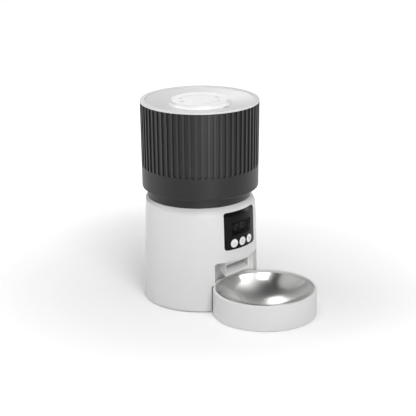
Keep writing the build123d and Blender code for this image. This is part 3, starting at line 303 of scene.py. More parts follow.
@dataclass(frozen=True)
class Fluted(Moulded):
    """The hopper's smoky plastic, with painted light and shade on its fluted wall: the ribs between
    the flutes are painted lighter, and the flutes keep the deeper tone as painted shade.
    """

    wall_r: float = 0.0
    wall_z: float = 0.0
    lean: float = 0.0
    flute_depth: float = 0.002
    rib_z: float = 0.0
    rib_fade: float = 0.004                 # height over which the ribs' painted light sets in
    # painted light on the ribs: how many times lighter they are painted, its mottle and the
    # mottle's size
    rib_painted_light: float = 2.1
    rib_painted_light_mottle: float = 0.08
    rib_painted_light_marks: float = 30.0                # to the metre

    def rib_light_mask_in(self, tree: Tree) -> Value:
        """1 on the ribs between the flutes, where their painted light goes, and 0 elsewhere: the
        distance to the axis less the wall's own radius at that height, above the height where the
        ribs start.

        Args:
            tree: The material's tree.

        Returns:
            The mask.
        """
        x, y, z = tree.axes()
        out = (x * x + y * y).root() - (self.wall_r + self.lean * (z - self.wall_z))
        return (1 + out / self.flute_depth).clamped() * z.eased(
            self.rib_z - self.rib_fade, self.rib_z)

    def colour_in(self, tree: Tree) -> Value:
        """Flow marks, with painted light on the wall between the flutes: it is painted lighter than
        the flutes, whose deeper tone stands for their shade.

        Args:
            tree: The material's tree.

        Returns:
            The base colour.
        """
        base = super().colour_in(tree)
        # painted light: the ribs' lighter colour, against the flutes' darker tone as painted shade
        rib_painted_light = tree.blend(tree.noise(self.rib_painted_light_marks, 3.0), paint(self.colour, self.rib_painted_light),
                          paint(self.colour, self.rib_painted_light * (1 + self.rib_painted_light_mottle)))
        return tree.blend(self.rib_light_mask_in(tree), base, rib_painted_light)


@dataclass(frozen=True)
class SpunSteel:
    """Stainless steel spun on a lathe: rings about an axis, fine rubs along them, soft stains."""

    name: str
    axis: tuple[float, float, float]
    colour: Colour = (0.78, 0.775, 0.765)
    roughness: float = 0.14
    ring: float = 0.00045
    relief: float = 0.0000022
    rings_up: float = 300.0                 # to the metre of height
    rubs_up: float = 200.0                  # to the metre of height
    rubs_round: float = 14.0                # to the radian
    stains: float = 40.0                    # to the metre
    rub_haze: float = 0.07
    stain_haze: float = 0.05

    def make(self) -> bpy.types.Material:
        """Builds the material: noise on the distance from the axis gives rings, and noise on
        distance and angle together gives short rubs along the rings.

        Returns:
            The material.
        """
        tree = Tree(self.name)
        x, y, z = tree.axes(self.axis)
        radius = (x * x + y * y).root()
        turn = y.angle_with(x)
        rings = tree.noise(1.0, 3.0, tree.joined(radius / self.ring, z * self.rings_up, 0.0))
        rubs = tree.noise(1.0, 4.0, tree.joined(
            radius / (0.5 * self.ring), turn * self.rubs_round, z * self.rubs_up))
        stains = tree.noise(self.stains, 3.0)
        relief = tree.bump(rings * 0.6 + rubs * 0.4, self.relief)
        return tree.finish(
            Base_Color=tree.blend(stains, paint(self.colour, 0.96), paint(self.colour, 1.03)),
            Metallic=1.0, Normal=relief,
            Roughness=self.roughness + self.rub_haze * (rubs - 0.5)
            + self.stain_haze * (stains - 0.5))


@dataclass(frozen=True)
class Metal:
    """Plain turned or plated metal with fine tool marks and a thin tarnish."""

    name: str
    colour: Colour
    roughness: float = 0.32
    tarnish: float = 0.2
    clouds: float = 160.0                   # to the metre
    cloud_haze: float = 0.16
    tool_marks: float = 5200.0              # to the metre
    mark_depth: float = 0.000006

    def make(self) -> bpy.types.Material:
        """Builds the material.

        Returns:
            The material.
        """
        tree = Tree(self.name)
        cloud = tree.noise(self.clouds, 4.0)
        marks = tree.noise(self.tool_marks, 2.0)
        return tree.finish(
            Base_Color=tree.blend(cloud, paint(self.colour, 1 - self.tarnish), paint(self.colour)),
            Metallic=1.0, Roughness=self.roughness + self.cloud_haze * (cloud - 0.5),
            Normal=tree.bump(marks, self.mark_depth))


@dataclass(frozen=True)
class Rubber:
    """Soft rubber with a dry bloom in its pores."""

    name: str
    colour: Colour

    def make(self) -> bpy.types.Material:
        """Builds the material.

        Returns:
            The material.
        """
        tree = Tree(self.name)
        bloom = tree.noise(90.0, 5.0).eased(0.35, 0.75)
        pores = tree.noise(2600.0, 2.0)
        return tree.finish(
            Base_Color=tree.blend(bloom, paint(self.colour), paint(self.colour, 1.35)),
            Roughness=0.72 + 0.15 * bloom, Normal=tree.bump(pores, 0.00003),
            Specular_IOR_Level=0.3)


@dataclass(frozen=True)
class Tinted:
    """A clear window with a dark tint that what lies behind shows through."""

    name: str
    colour: Colour
    see_through: float

    def make(self) -> bpy.types.Material:
        """Builds the material: faint rubs in the gloss, and the tint by alpha.

        Returns:
            The material.
        """
        tree = Tree(self.name)
        rubs = tree.noise(900.0, 3.0)
        return tree.finish(
            Base_Color=tree.blend(rubs, paint(self.colour), paint(self.colour, 1.2)),
            Roughness=0.05 + 0.05 * rubs, Alpha=1 - self.see_through,
            Normal=tree.bump(tree.noise(30.0, 1.0), 0.00002), Specular_IOR_Level=0.06)


@dataclass(frozen=True)
class Board:
    """Green solder mask over copper tracks that run in two directions."""

    name: str
    mask: Colour = (0.012, 0.11, 0.035)
    track: Colour = (0.03, 0.2, 0.07)

    def make(self) -> bpy.types.Material:
        """Builds the material: bands of x and z, broken up by slow noise, stand for tracks.

        Returns:
            The material.
        """
        tree = Tree(self.name)
        x, _, z = tree.axes()
        where = tree.noise(60.0, 0.0).eased(0.48, 0.52)
        across = (x * 2500.0).sine().eased(0.55, 0.75)
        along = (z * 2500.0).sine().eased(0.55, 0.75)
        tracks = across * where + along * (1 - where)
        return tree.finish(
            Base_Color=tree.blend(tracks, paint(self.mask), paint(self.track)),
            Roughness=0.35 + 0.1 * tree.noise(200.0), Normal=tree.bump(tracks, 0.00003))


@dataclass(frozen=True)
class Ink:
    """Printed or lit marks: flat ink with a slightly uneven edge tone."""

    name: str
    colour: Colour
    roughness: float = 0.5
    glow: float = 0.0

    def make(self) -> bpy.types.Material:
        """Builds the material.

        Returns:
            The material.
        """
        tree = Tree(self.name)
        uneven = tree.noise(700.0, 3.0)
        tone = tree.blend(uneven, paint(self.colour, 0.9), paint(self.colour, 1.08))
        return tree.finish(Base_Color=tone, Roughness=self.roughness, Emission_Color=tone,
                           Emission_Strength=self.glow)


# ---------------------------------------------------------------- surfaces


def grid_faces(rows: int, columns: int) -> np.ndarray:
    """Quads of a grid whose vertex number is row * columns + column, and whose last column
    joins the first.

    Args:
        rows: Points along the first direction.
        columns: Points round the second direction.

    Returns:
        An array of four vertex numbers to a face.
    """
    row = np.arange(rows - 1)[:, None]
    column = np.arange(columns)[None, :]
    next_row, next_column = row + 1, (column + 1) % columns
    corners = (row * columns + column, row * columns + next_column,
               next_row * columns + next_column, next_row * columns + column)
    return np.stack(np.broadcast_arrays(*corners), axis=-1).reshape(-1, 4)


def softened(corners: np.ndarray, cuts: np.ndarray, steps: int = 6) -> np.ndarray:
    """A closed outline with its corners rounded: from each corner the curve starts and ends a
    cut's length away along the two sides, and is (1-t)^2 A + 2t(1-t) corner + t^2 B between.

    Args:
        corners: The outline's corners, an array of pairs.
        cuts: How far from each corner its rounding starts.
        steps: Points to a corner.

    Returns:
        The outline's points, steps to each corner.
    """
    before = np.roll(corners, 1, axis=0) - corners
    after = np.roll(corners, -1, axis=0) - corners
    before /= np.linalg.norm(before, axis=1, keepdims=True)
    after /= np.linalg.norm(after, axis=1, keepdims=True)
    start, end = corners + before * cuts[:, None], corners + after * cuts[:, None]
    t = np.linspace(0, 1, steps)[None, :, None]
    curve = ((1 - t) ** 2 * start[:, None] + 2 * t * (1 - t) * corners[:, None]
             + t ** 2 * end[:, None])
    return curve.reshape(-1, 2)


def turned(outline: np.ndarray, centre: tuple[float, float], segments: int) -> np.ndarray:
    """A surface of revolution: (r, z) becomes (cx + r cos a, cy + r sin a, z).

    Args:
        outline: Pairs of radius and height.
        centre: The axis's x and y.
        segments: Columns round the axis.

    Returns:
        Points in an array of outline by segments by 3.
    """
    angle = np.linspace(0, 2 * np.pi, segments, endpoint=False)[None, :]
    radius, height = outline[:, :1], outline[:, 1:]
    return np.stack(np.broadcast_arrays(centre[0] + radius * np.cos(angle),
                                        centre[1] + radius * np.sin(angle), height), axis=-1)


def plate(outline: np.ndarray, low: float, high: float) -> tuple[np.ndarray, np.ndarray]:
    """A flat mark of even thickness: the closed outline at two heights, joined by a wall, with
    one many-sided face on top and one below.

    Args:
        outline: Pairs round the mark, anticlockwise.
        low: Height of its underside.
        high: Height of its top.

    Returns:
        The points, and the faces as lists of vertex numbers.
    """
    count = len(outline)
    points = np.concatenate([np.column_stack([outline, np.full(count, height)])
                             for height in (low, high)])
    ring = np.arange(count)
    wall = np.stack([ring, (ring + 1) % count, (ring + 1) % count + count, ring + count], axis=1)
    return points, [*wall.tolist(), ring[::-1].tolist(), (ring + count).tolist()]


def band(path: np.ndarray, width: float) -> np.ndarray:
    """Outline of a stripe of even width along a path: the path moved half a width to one side,
    then back along the other side.

    Args:
        path: Pairs along the stripe's middle.
        width: The stripe's width.

    Returns:
        The outline's points.
    """
    along = np.gradient(path, axis=0)
    along /= np.linalg.norm(along, axis=1, keepdims=True)
    side = np.stack([along[:, 1], -along[:, 0]], axis=1) * width / 2
    return np.concatenate([path + side, (path - side)[::-1]])


def arc(radius: float, start: float, end: float, steps: int,
        centre: tuple[float, float] = (0.0, 0.0)) -> np.ndarray:
    """Points on an arc, from one angle in degrees to another."""
    angle = np.radians(np.linspace(start, end, steps))
    return np.column_stack([centre[0] + radius * np.cos(angle), centre[1] + radius * np.sin(angle)])


class Piece:
    """One new visible piece: its mesh at the origin, its finish and its body."""

    def __init__(self, name: str) -> None:
        """Starts with no points.

        Args:
            name: The piece's name.
        """
        self.name = name
        self.points: list[np.ndarray] = []
        self.faces: list[list[int]] = []
        self.count = 0

    def add(self, points: np.ndarray, faces: Any) -> "Piece":
        """Adds points and the faces on them, numbered from 0.

        Args:
            points: An array whose last axis holds x, y and z.
            faces: Lists or an array of vertex numbers.

        Returns:
            The piece, so that calls can follow each other.
        """
        flat = np.asarray(points, float).reshape(-1, 3)
        self.faces += [[index + self.count for index in face] for face in
                       (faces.tolist() if isinstance(faces, np.ndarray) else faces)]
        self.points.append(flat)
        self.count += len(flat)
        return self

    def place(self, material: bpy.types.Material, body: str, slot: str,
              sharp: float = 35.0) -> bpy.types.Object:
        """Makes the Blender object.

        Args:
            material: The finish.
            body: The CAD body that it rides on.
            slot: Not used.
            sharp: Edges that bend by more degrees than this stay sharp.

        Returns:
            The object.
        """
        mesh = bpy.data.meshes.new(self.name)
        mesh.from_pydata(np.concatenate(self.points), [], self.faces)
        shape = bmesh.new()
        shape.from_mesh(mesh)
        bmesh.ops.remove_doubles(shape, verts=shape.verts, dist=1e-7)
        bmesh.ops.dissolve_degenerate(shape, edges=shape.edges, dist=1e-8)
        bmesh.ops.recalc_face_normals(shape, faces=shape.faces)
        shape.to_mesh(mesh)
        shape.free()
        mesh.shade_smooth()
        mesh.set_sharp_from_angle(angle=math.radians(sharp))
        mesh.materials.append(material)
        made = bpy.data.objects.new(self.name, mesh)
        bpy.context.scene.collection.objects.link(made)
        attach(made, body)
        LOG.info("%s: %d faces, rides on %s", self.name, len(mesh.polygons), body)
        return made


def middle(node: str) -> Vector:
    """Centre of a CAD node's box."""
    low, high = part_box(node)
    return (low + high) / 2


def dress(material: bpy.types.Material, *nodes: str) -> None:
    """Gives CAD nodes a finish.

    Args:
        material: The finish.
        nodes: Names of CAD nodes.
    """
    for node in nodes:
        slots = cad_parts[node].material_slots
        for slot in slots:
            slot.material = material
        if not slots:
            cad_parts[node].data.materials.append(material)
    LOG.info("%s on %s", material.name, ", ".join(nodes))


# ---------------------------------------------------------------- sub-assemblies


@dataclass
class Base:
    """The drum-shaped housing, its bottom cover, chute, inlet and drive."""

    shell_colour: Colour = (0.66, 0.665, 0.66)

    def build(self) -> None:
        """Dresses the housing and everything inside it."""
        shell = Moulded("white_shell_satin", self.shell_colour, 0.42, Grain.SATIN, 0.012, 0.06,
                        specular=0.4).make()
        cover = Moulded("cover_matt", (0.62, 0.63, 0.63), 0.6, Grain.SPARKED, 0.03).make()
        dress(shell, "base_shell", "chute")
        dress(cover, "bottom_cover", "battery_door")
        dress(Rubber("foot_rubber", (0.12, 0.12, 0.125)).make(), "foot_ring")
        dress(Metal("zinc_plate", (0.62, 0.62, 0.60)).make(), "case_screws", "gearbox_screws",
              "lid_screws", "knob_screw", "gear_pins", "battery_contacts")
        dress(Moulded("inlet_black", (0.02, 0.02, 0.021), 0.45, Grain.SPARKED).make(),
              "inlet_socket", "chute_sensors")
        dress(Moulded("gearbox_grey", (0.30, 0.31, 0.32), 0.5, Grain.SPARKED).make(),
              "gearbox_tray", "gearbox_lid")
        dress(Metal("sintered_brass", (0.60, 0.42, 0.17), 0.42).make(), "shaft_bush")
        dress(Metal("motor_can", (0.55, 0.55, 0.56), 0.28, 0.1).make(), "motor")
        dress(Moulded("gear_acetal", (0.78, 0.76, 0.68), 0.35, Grain.POLISHED).make(),
              "motor_pinion", "first_gear", "second_gear", "output_gear")


class Mark(Enum):
    """Signs printed on the three buttons."""

    FEED = "button_left"
    CLOCK = "button_centre"
    SOUND = "button_right"


@dataclass
class ControlPanel:
    """The glossy black panel with its display and three buttons. The signs are drawn round a
    button's centre, and the digits round the display's."""

    button_step: float = 11.2               # degrees from one button to the next
    line: float = 0.55 * MM
    mark_t: float = 0.12 * MM
    clock_r: float = 2.6 * MM
    clock_hands: tuple[float, float] = (1.6 * MM, 1.3 * MM)
    hand_tail: float = 0.2 * MM
    bowl_r: float = 2.4 * MM
    rim_half: float = 2.6 * MM
    rim_y: float = -0.7 * MM
    bit_r: float = 0.5 * MM
    bits: tuple[tuple[float, float], ...] = ((-1.1, 0.6), (0.0, 1.7), (1.1, 0.6))
    bars: tuple[tuple[float, float], ...] = (
        (-2.0, 0.8), (-1.0, 1.7), (0.0, 2.5), (1.0, 1.7), (2.0, 0.8))
    time_shown: str = "1230"
    digit_starts: tuple[float, ...] = (-15.2 * MM, -8.6 * MM, 0.6 * MM, 7.2 * MM)
    digit_h: float = 8.4 * MM
    digit_w: float = 4.3 * MM
    digit_t: float = 0.1 * MM
    stroke: float = 1.0 * MM
    stroke_gap: float = 0.6                 # share of a stroke left free at a segment's ends
    colon_x: float = -1.8 * MM
    colon_rise: float = 1.8 * MM
    dot_half: float = 0.5 * MM

    def build(self) -> None:
        """Dresses the panel and adds its marks and digits."""
        dress(Moulded("panel_gloss_black", (0.0045, 0.0045, 0.0048), 0.28, Grain.POLISHED,
                      0.1, 0.05, specular=0.1).make(), "control_panel")
        dress(Tinted("window_tint", (0.002, 0.002, 0.0023), 0.5).make(), "display_window")
        dress(Moulded("display_face", (0.012, 0.013, 0.013), 0.5).make(), "display_module")
        dress(Board("solder_mask").make(), "circuit_board")
        dress(Moulded("switch_black", (0.02, 0.02, 0.02), 0.5).make(), "push_switches")
        dress(Moulded("button_satin_white", (0.78, 0.785, 0.78), 0.35, Grain.SATIN, 0.01).make(),
              "button_left", "button_centre", "button_right")
        self.print_buttons()
        self.show_digits()

    def mark_outlines(self, mark: Mark) -> list[np.ndarray]:
        """The stripes that make up one button's sign, as outlines round the button's centre.

        Args:
            mark: Which sign.

        Returns:
            A list of outlines in metres, x to the right and y up.
        """
        if mark is Mark.CLOCK:
            ring = [arc(self.clock_r, start, start + 180, 15) for start in (0, 180)]
            minute, hour = self.clock_hands
            hands = [np.array([[0.0, -self.hand_tail], [0.0, minute]]),
                     np.array([[-self.hand_tail, 0.0], [hour, 0.0]])]
            return [band(path, self.line) for path in ring + hands]
        if mark is Mark.FEED:
            bowl = arc(self.bowl_r, 200, 340, 13)
            rim = np.array([[-self.rim_half, self.rim_y], [self.rim_half, self.rim_y]])
            bits = [arc(self.bit_r, 0, 360, 11, (x * MM, y * MM))[:-1] for x, y in self.bits]
            return [band(bowl, self.line), band(rim, self.line), *bits]
        return [band(np.array([[x, -half], [x, half]]) * MM, self.line)
                for x, half in self.bars]

    def print_buttons(self) -> None:
        """Prints each button's sign on its face: x runs along the face, y up, and the height
        above the face is the distance from the feeder's axis."""
        ink = Ink("button_ink_grey", (0.42, 0.42, 0.425)).make()
        face_r = -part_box("button_centre")[0].y
        height = middle("button_centre").z
        for index, mark in enumerate(Mark):
            turn = math.radians((index - 1) * self.button_step)
            out = np.array([math.sin(turn), -math.cos(turn), 0.0])
            right = np.array([math.cos(turn), math.sin(turn), 0.0])
            piece = Piece(f"{mark.value}_mark")
            for outline in self.mark_outlines(mark):
                flat, faces = plate(outline, face_r - INK_SINK, face_r + self.mark_t)
                piece.add(flat[:, :1] * right + flat[:, 1:2] * np.array([0, 0, 1.0])
                          + flat[:, 2:] * out + np.array([0, 0, height]), faces)
            piece.place(ink, mark.value, "grey_moulding")

    def show_digits(self) -> None:
        """Lays four seven-segment digits and a colon on the display's face. A segment is a
        stripe with pointed ends."""
        low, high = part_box("display_module")
        centre_z = (low.z + high.z) / 2
        ink = Ink("display_segments", (0.30, 0.31, 0.30), 0.4, 0.6).make()
        w, h, s = self.digit_w, self.digit_h, self.stroke
        segments = {"a": ((0, h), (w, h)), "b": ((w, h), (w, h / 2)), "c": ((w, h / 2), (w, 0)),
                    "d": ((0, 0), (w, 0)), "e": ((0, 0), (0, h / 2)), "f": ((0, h / 2), (0, h)),
                    "g": ((0, h / 2), (w, h / 2))}
        lit = {"0": "abcdef", "1": "bc", "2": "abged", "3": "abgcd"}
        piece = Piece("display_digits")
        for digit, start in zip(self.time_shown, self.digit_starts):
            for name in lit[digit]:
                ends = np.array(segments[name])
                along = (ends[1] - ends[0]) / np.linalg.norm(ends[1] - ends[0])
                side, tip = np.array([along[1], -along[0]]) * s / 2, along * s / 2
                first = ends[0] + along * s * self.stroke_gap
                last = ends[1] - along * s * self.stroke_gap
                outline = np.array([first, first + (tip + side), last + (side - tip),
                                    last, last - (side + tip), first + (tip - side)])
                self.add_on_display(piece, outline + np.array([start, -h / 2]), low.y, centre_z)
        dot = np.array([[-1, -1], [1, -1], [1, 1], [-1, 1]]) * self.dot_half
        for rise in (-self.colon_rise, self.colon_rise):
            self.add_on_display(piece, dot + np.array([self.colon_x, rise]), low.y, centre_z)
        piece.place(ink, "base", "display_black")

    def add_on_display(self, piece: Piece, outline: np.ndarray, face_y: float,
                       centre_z: float) -> None:
        """Adds a thin mark to the display's face, with x to the right and y up."""
        flat, faces = plate(outline, 0.0, self.digit_t)
        piece.add(np.column_stack([flat[:, 0], face_y - flat[:, 2], centre_z + flat[:, 1]]), faces)


@dataclass
class Hopper:
    """The smoky fluted hopper with its funnel, rotor and soft blades."""

    colour: Colour = (0.012, 0.0123, 0.012)
    flute_depth: float = 2.0 * MM
    lean: float = 0.0106
    rib_h: float = 95.0 * MM

    def build(self) -> None:
        """Dresses the hopper and what turns inside it."""
        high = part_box("hopper")[1]
        finish = Fluted("hopper_smoke", self.colour, 0.42, Grain.SATIN, 0.05, 0.06, specular=0.34,
                        wall_r=high.x, wall_z=high.z, lean=self.lean, flute_depth=self.flute_depth,
                        rib_z=high.z - self.rib_h)
        dress(finish.make(), "hopper")
        grey = Moulded("inner_grey", (0.27, 0.275, 0.28), 0.5, Grain.SPARKED).make()
        dress(grey, "funnel", "rotor", "stirring_cap")
        dress(Rubber("blade_rubber", (0.16, 0.16, 0.17)).make(), "rotor_blades")


class Lock(Enum):
    """The two locks printed on the knob: the angle where each stands, in degrees, and how far
    its bow is moved sideways, in metres."""

    OPEN = (160.0, 2.2 * MM)
    CLOSED = (340.0, 0.0)


@dataclass
class Lid:
    """The lid, its seal, the lock's knob, cam and tongues, and the drying box."""

    line: float = 1.1 * MM
    mark_t: float = 0.12 * MM
    mark_r: float = 30.0 * MM               # radius of the ring that the marks stand on
    mark_drop: float = 0.8 * MM             # from the knob's top down to its printed face
    arrow_starts: tuple[float, float] = (20.0, 200.0)
    arrow_turn: float = 100.0               # degrees that an arrow's line covers
    arrow_tip: float = 108.0                # degrees from its start to its head's tip
    arrow_back: float = 99.0                # and to the back of its head
    arrow_half: float = 3.2 * MM
    lock_half: float = 3.6 * MM
    lock_low: float = -3.0 * MM
    lock_high: float = 2.0 * MM
    bow_r: float = 2.4 * MM
    bow_y: float = 2.6 * MM
    pointer_l: float = 6.0 * MM
    pointer_half: float = 7.5 * MM
    pointer_root: float = 3.5 * MM          # how far it starts inside the knob's edge
    pointer_rounding: tuple[float, float, float] = (1.0 * MM, 3.5 * MM, 1.0 * MM)
    pointer_drop: float = 5.5 * MM          # from the knob's top down to its underside
    pointer_t: float = 1.5 * MM
    pointer_angle: float = -78.0

    def build(self) -> None:
        """Dresses the lid and prints the knob's marks."""
        dress(Moulded("lid_satin_white", (0.62, 0.625, 0.62), 0.3, Grain.SATIN, 0.012,
                      0.05).make(), "lid_shell")
        dress(Moulded("knob_gloss_white", (0.86, 0.865, 0.86), 0.3, Grain.POLISHED, 0.01, 0.05,
                      coat=0.15).make(), "lid_knob")
        dress(Moulded("lock_grey", (0.42, 0.425, 0.43), 0.5, Grain.SPARKED).make(), "guide_plate",
              "lock_cam", "lock_tongue_1", "lock_tongue_2", "lock_tongue_3")
        dress(Rubber("seal_rubber", (0.35, 0.35, 0.355)).make(), "lid_seal")
        dress(Moulded("drying_box_white", (0.7, 0.7, 0.69), 0.45).make(), "desiccant_box",
              "desiccant_grille")
        self.print_knob()
        self.add_pointer()

    def add_pointer(self) -> None:
        """Adds the knob's pointer: a low tab with a rounded tip that shows where the knob is
        set. Its outline is a triangle with its corners rounded, turned to the knob's front."""
        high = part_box("lid_knob")[1]
        root, tip = high.x - self.pointer_root, high.x + self.pointer_l
        corners = np.array([[root, -self.pointer_half], [tip, 0.0], [root, self.pointer_half]])
        turn = math.radians(self.pointer_angle)
        outline = softened(corners, np.array(self.pointer_rounding)) @ np.array(
            [[math.cos(turn), math.sin(turn)], [-math.sin(turn), math.cos(turn)]])
        foot = high.z - self.pointer_drop
        Piece("knob_pointer").add(*plate(outline, foot, foot + self.pointer_t)).place(
            Moulded("pointer_gloss_white", (0.80, 0.805, 0.80), 0.3, Grain.POLISHED, 0.01).make(),
            "knob", "white_shell")

    def print_knob(self) -> None:
        """Prints two curved arrows with an open and a closed lock on the knob."""
        face_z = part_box("lid_knob")[1].z - self.mark_drop
        ink = Ink("knob_ink_grey", (0.62, 0.62, 0.63)).make()
        piece = Piece("knob_marks")
        outlines: list[np.ndarray] = []
        for start in self.arrow_starts:
            outlines += [self.arrow_line(start), self.arrow_head(start)]
        for lock in Lock:
            outlines += self.lock_outlines(lock)
        for outline in outlines:
            piece.add(*plate(outline, face_z - INK_SINK, face_z + self.mark_t))
        piece.place(ink, "knob", "grey_moulding")

    def arrow_line(self, start: float) -> np.ndarray:
        """The stripe of the arrow that starts at an angle in degrees."""
        return band(arc(self.mark_r, start, start + self.arrow_turn, 33), self.line)

    def arrow_head(self, start: float) -> np.ndarray:
        """The triangle at the end of the arrow that starts at an angle in degrees: its tip on
        the ring, and its two back corners inside and outside of the ring.

        Args:
            start: The arrow's start.

        Returns:
            The outline.
        """
        radii = np.array([self.mark_r, self.mark_r - self.arrow_half,
                          self.mark_r + self.arrow_half])
        angles = np.radians(start + np.array([self.arrow_tip, self.arrow_back, self.arrow_back]))
        return np.column_stack([radii * np.cos(angles), radii * np.sin(angles)])

    def lock_outlines(self, lock: Lock) -> list[np.ndarray]:
        """A lock's body, a rectangle, and its bow, half a ring above it.

        Args:
            lock: The open or the closed lock.

        Returns:
            The two outlines.
        """
        angle, shift = lock.value
        x, y = arc(self.mark_r, angle, angle, 1)[0]
        half, low, high = self.lock_half, self.lock_low, self.lock_high
        body = np.array([[-half, low], [half, low], [half, high], [-half, high]])
        bow = arc(self.bow_r, 0, 180, 13, (x + shift, y + self.bow_y))
        return [body + np.array([x, y]), band(bow, self.line)]


@dataclass
class BowlHolder:
    """The round holder that docks in the base, with its pads and the steel bowl."""

    colour: Colour = (0.66, 0.665, 0.66)

    def build(self) -> None:
        """Dresses the holder and the bowl."""
        axis = middle("steel_bowl")
        dress(Moulded("holder_satin", self.colour, 0.42, Grain.SATIN, 0.012, 0.06,
                      specular=0.4).make(), "bowl_holder")
        dress(Rubber("pad_rubber", (0.12, 0.12, 0.125)).make(), "holder_pads")
        dress(SpunSteel("bowl_spun_steel", (axis.x, axis.y, 0.0)).make(), "steel_bowl")


# ---------------------------------------------------------------- studio


@dataclass(frozen=True)
class Lamp:
    """A rectangular soft lamp: where it stands, in degrees and metres from the feeder, its two
    sides in metres and its power in watts. One for gloss only leaves dull surfaces dark."""

    name: str
    azimuth: float
    elevation: float
    distance: float
    width: float
    height: float
    power: float
    gloss_only: bool = False


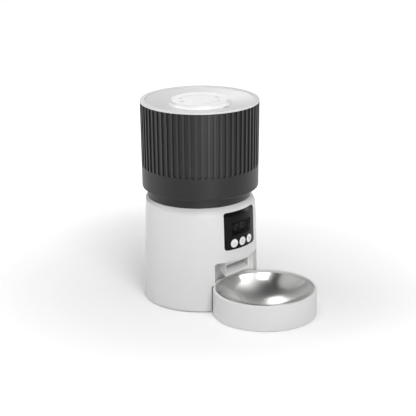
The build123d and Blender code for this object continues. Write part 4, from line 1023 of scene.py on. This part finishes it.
@dataclass
class Studio:
    """The pale floor, the soft lights and the camera."""

    azimuth: float = -47.5
    elevation: float = 17.85
    distance: float = 2.167
    lens: float = 121.15
    roll: float = -0.44
    aim_side: float = 0.0114
    aim_z: float = 0.138
    floor_r: float = 6.0
    floor_rings: int = 12
    floor_columns: int = 48
    floor_drop: float = 0.1 * MM
    floor_glow: tuple[float, float] = (0.05, 0.6)       # near the feeder, and far from it
    floor_glow_r: tuple[float, float] = (0.08, 0.75)    # radii between which it grows
    room: float = 0.43                      # the even light that dull surfaces see
    gloom: float = 0.05                     # the dim air that glossy surfaces see
    # each glow: azimuth and elevation in degrees, strength, and the power that narrows it
    glows: tuple[tuple[float, float, float, float], ...] = (
        (64.0, 55.0, 1.7, 22.0), (30.0, 70.0, 1.0, 26.0), (-152.0, 50.0, 1.1, 22.0),
        (138.0, 22.0, 2.4, 260.0), (139.0, 30.0, 2.6, 260.0), (140.0, 38.0, 2.2, 260.0),
        (158.0, 12.0, 0.42, 6.0), (96.0, 15.0, 0.4, 6.0))
    lamps: tuple[Lamp, ...] = (
        Lamp("key_light", -30.0, 40.0, 2.2, 0.8, 0.8, 21.0),
        Lamp("side_light", -150.0, 38.0, 2.4, 1.0, 1.0, 9.0),
        Lamp("top_light", -60.0, 82.0, 1.8, 0.8, 0.8, 8.0),
        Lamp("front_strip", -31.0, 12.0, 1.5, 0.30, 0.7, 9.0, True),
        Lamp("left_strip", -131.0, 12.0, 1.5, 0.35, 0.7, 6.0, True),
        Lamp("right_strip", 62.0, 12.0, 1.5, 0.30, 0.7, 5.0, True),
    )

    def build(self) -> None:
        """Builds the studio."""
        bpy.context.scene.view_settings.view_transform = "Standard"
        self.floor()
        self.sky()
        for lamp in self.lamps:
            self.softbox(lamp)
        self.camera()

    @staticmethod
    def direction(azimuth: float, elevation: float) -> Vector:
        """Unit vector from the feeder towards a place at an azimuth and elevation in degrees."""
        a, e = math.radians(azimuth), math.radians(elevation)
        return Vector((math.sin(a) * math.cos(e), -math.cos(a) * math.cos(e), math.sin(e)))

    def floor(self) -> None:
        """Lays a round floor: rings about the axis, whose spacing grows outwards. It gives off
        a faint light of its own, which grows with the distance from the axis."""
        radii = np.linspace(0, 1, self.floor_rings) ** 2 * self.floor_r
        outline = np.column_stack([radii, np.full(self.floor_rings, -self.floor_drop)])
        points = turned(outline, (0.0, 0.0), self.floor_columns)
        mesh = bpy.data.meshes.new("studio_floor")
        mesh.from_pydata(points.reshape(-1, 3), [],
                         grid_faces(self.floor_rings, self.floor_columns).tolist())
        tree = Tree("floor_paper")
        x, y, _ = tree.axes()
        far = (x * x + y * y).root().eased(*self.floor_glow_r)
        near_glow, far_glow = (paint((glow, glow, glow)) for glow in self.floor_glow)
        mesh.materials.append(tree.finish(
            Base_Color=tree.blend(tree.noise(3.0), paint((0.79, 0.793, 0.79)),
                                  paint((0.81, 0.813, 0.81))), Roughness=0.85,
            Emission_Color=tree.blend(far, near_glow, far_glow),
            Emission_Strength=1.0, Specular_IOR_Level=0.2))
        made = bpy.data.objects.new("studio_floor", mesh)
        bpy.context.scene.collection.objects.link(made)

    def sky(self) -> None:
        """Fills the room with soft light. The camera sees white, dull surfaces see one even
        grey, and glossy ones see a dim room with soft glows: each glow's brightness is the
        cosine of the angle from its middle, raised to a power that sets its width."""
        world = bpy.data.worlds.new("studio_air")
        bpy.context.scene.world = world
        world.use_nodes = True
        tree = Tree(world)
        split = tree.node("ShaderNodeSeparateXYZ", {}, {0: tree.node("ShaderNodeTexCoord")})
        x, y, z = (Value(tree, socket) for socket in split.socket.node.outputs)
        shine = self.gloom
        for azimuth, elevation, strength, power in self.glows:
            way = self.direction(azimuth, elevation)
            shine = shine + strength * (x * way.x + y * way.y + z * way.z).clamped() ** power
        white = (1.0, 1.0, 1.0, 1.0)
        air = [tree.node("ShaderNodeBackground", {}, {"Color": white, "Strength": strength})
               for strength in (self.room, shine, 1.0)]
        ray = tree.node("ShaderNodeLightPath").socket.node.outputs
        lit = tree.node("ShaderNodeMixShader", {}, {
            0: Value(tree, ray["Is Glossy Ray"]), 1: air[0], 2: air[1]})
        seen = tree.node("ShaderNodeMixShader", {}, {
            0: Value(tree, ray["Is Camera Ray"]), 1: lit, 2: air[2]})
        tree.node("ShaderNodeOutputWorld", {}, {"Surface": seen})

    def softbox(self, lamp: Lamp) -> None:
        """Hangs one lamp that looks at the feeder.

        Args:
            lamp: Where it hangs, its size and its power.
        """
        light = bpy.data.lights.new(lamp.name, "AREA")
        light.shape, light.energy = "RECTANGLE", lamp.power
        light.size, light.size_y = lamp.width, lamp.height
        made = bpy.data.objects.new(lamp.name, light)
        back = self.direction(lamp.azimuth, lamp.elevation)
        made.location = Vector((0, 0, self.aim_z)) + back * lamp.distance
        made.rotation_mode = "QUATERNION"
        made.rotation_quaternion = (-back).to_track_quat("-Z", "Y")
        made.visible_camera = False
        made.visible_diffuse = not lamp.gloss_only
        bpy.context.scene.collection.objects.link(made)

    def camera(self) -> None:
        """Sets up the camera at the fixed angle."""
        a = math.radians(self.azimuth)
        target = Vector((self.aim_side * math.cos(a), self.aim_side * math.sin(a), self.aim_z))
        back = self.direction(self.azimuth, self.elevation)
        lens = bpy.data.cameras.new("studio_camera")
        lens.lens, lens.sensor_width = self.lens, 36.0
        made = bpy.data.objects.new("studio_camera", lens)
        made.location = target + back * self.distance
        made.rotation_mode = "QUATERNION"
        made.rotation_quaternion = ((-back).to_track_quat("-Z", "Y")
                                    @ Quaternion((0, 0, 1), math.radians(self.roll)))
        bpy.context.scene.collection.objects.link(made)
        bpy.context.scene.camera = made


def main() -> None:
    """Builds the studio and every sub-assembly."""
    logging.basicConfig(level=logging.INFO, format="%(name)s: %(message)s")
    for part in (Studio(), Base(), ControlPanel(), Hopper(), Lid(), BowlHolder()):
        LOG.info("building %s", type(part).__name__)
        part.build()


if __name__ == "__main__":
    main()
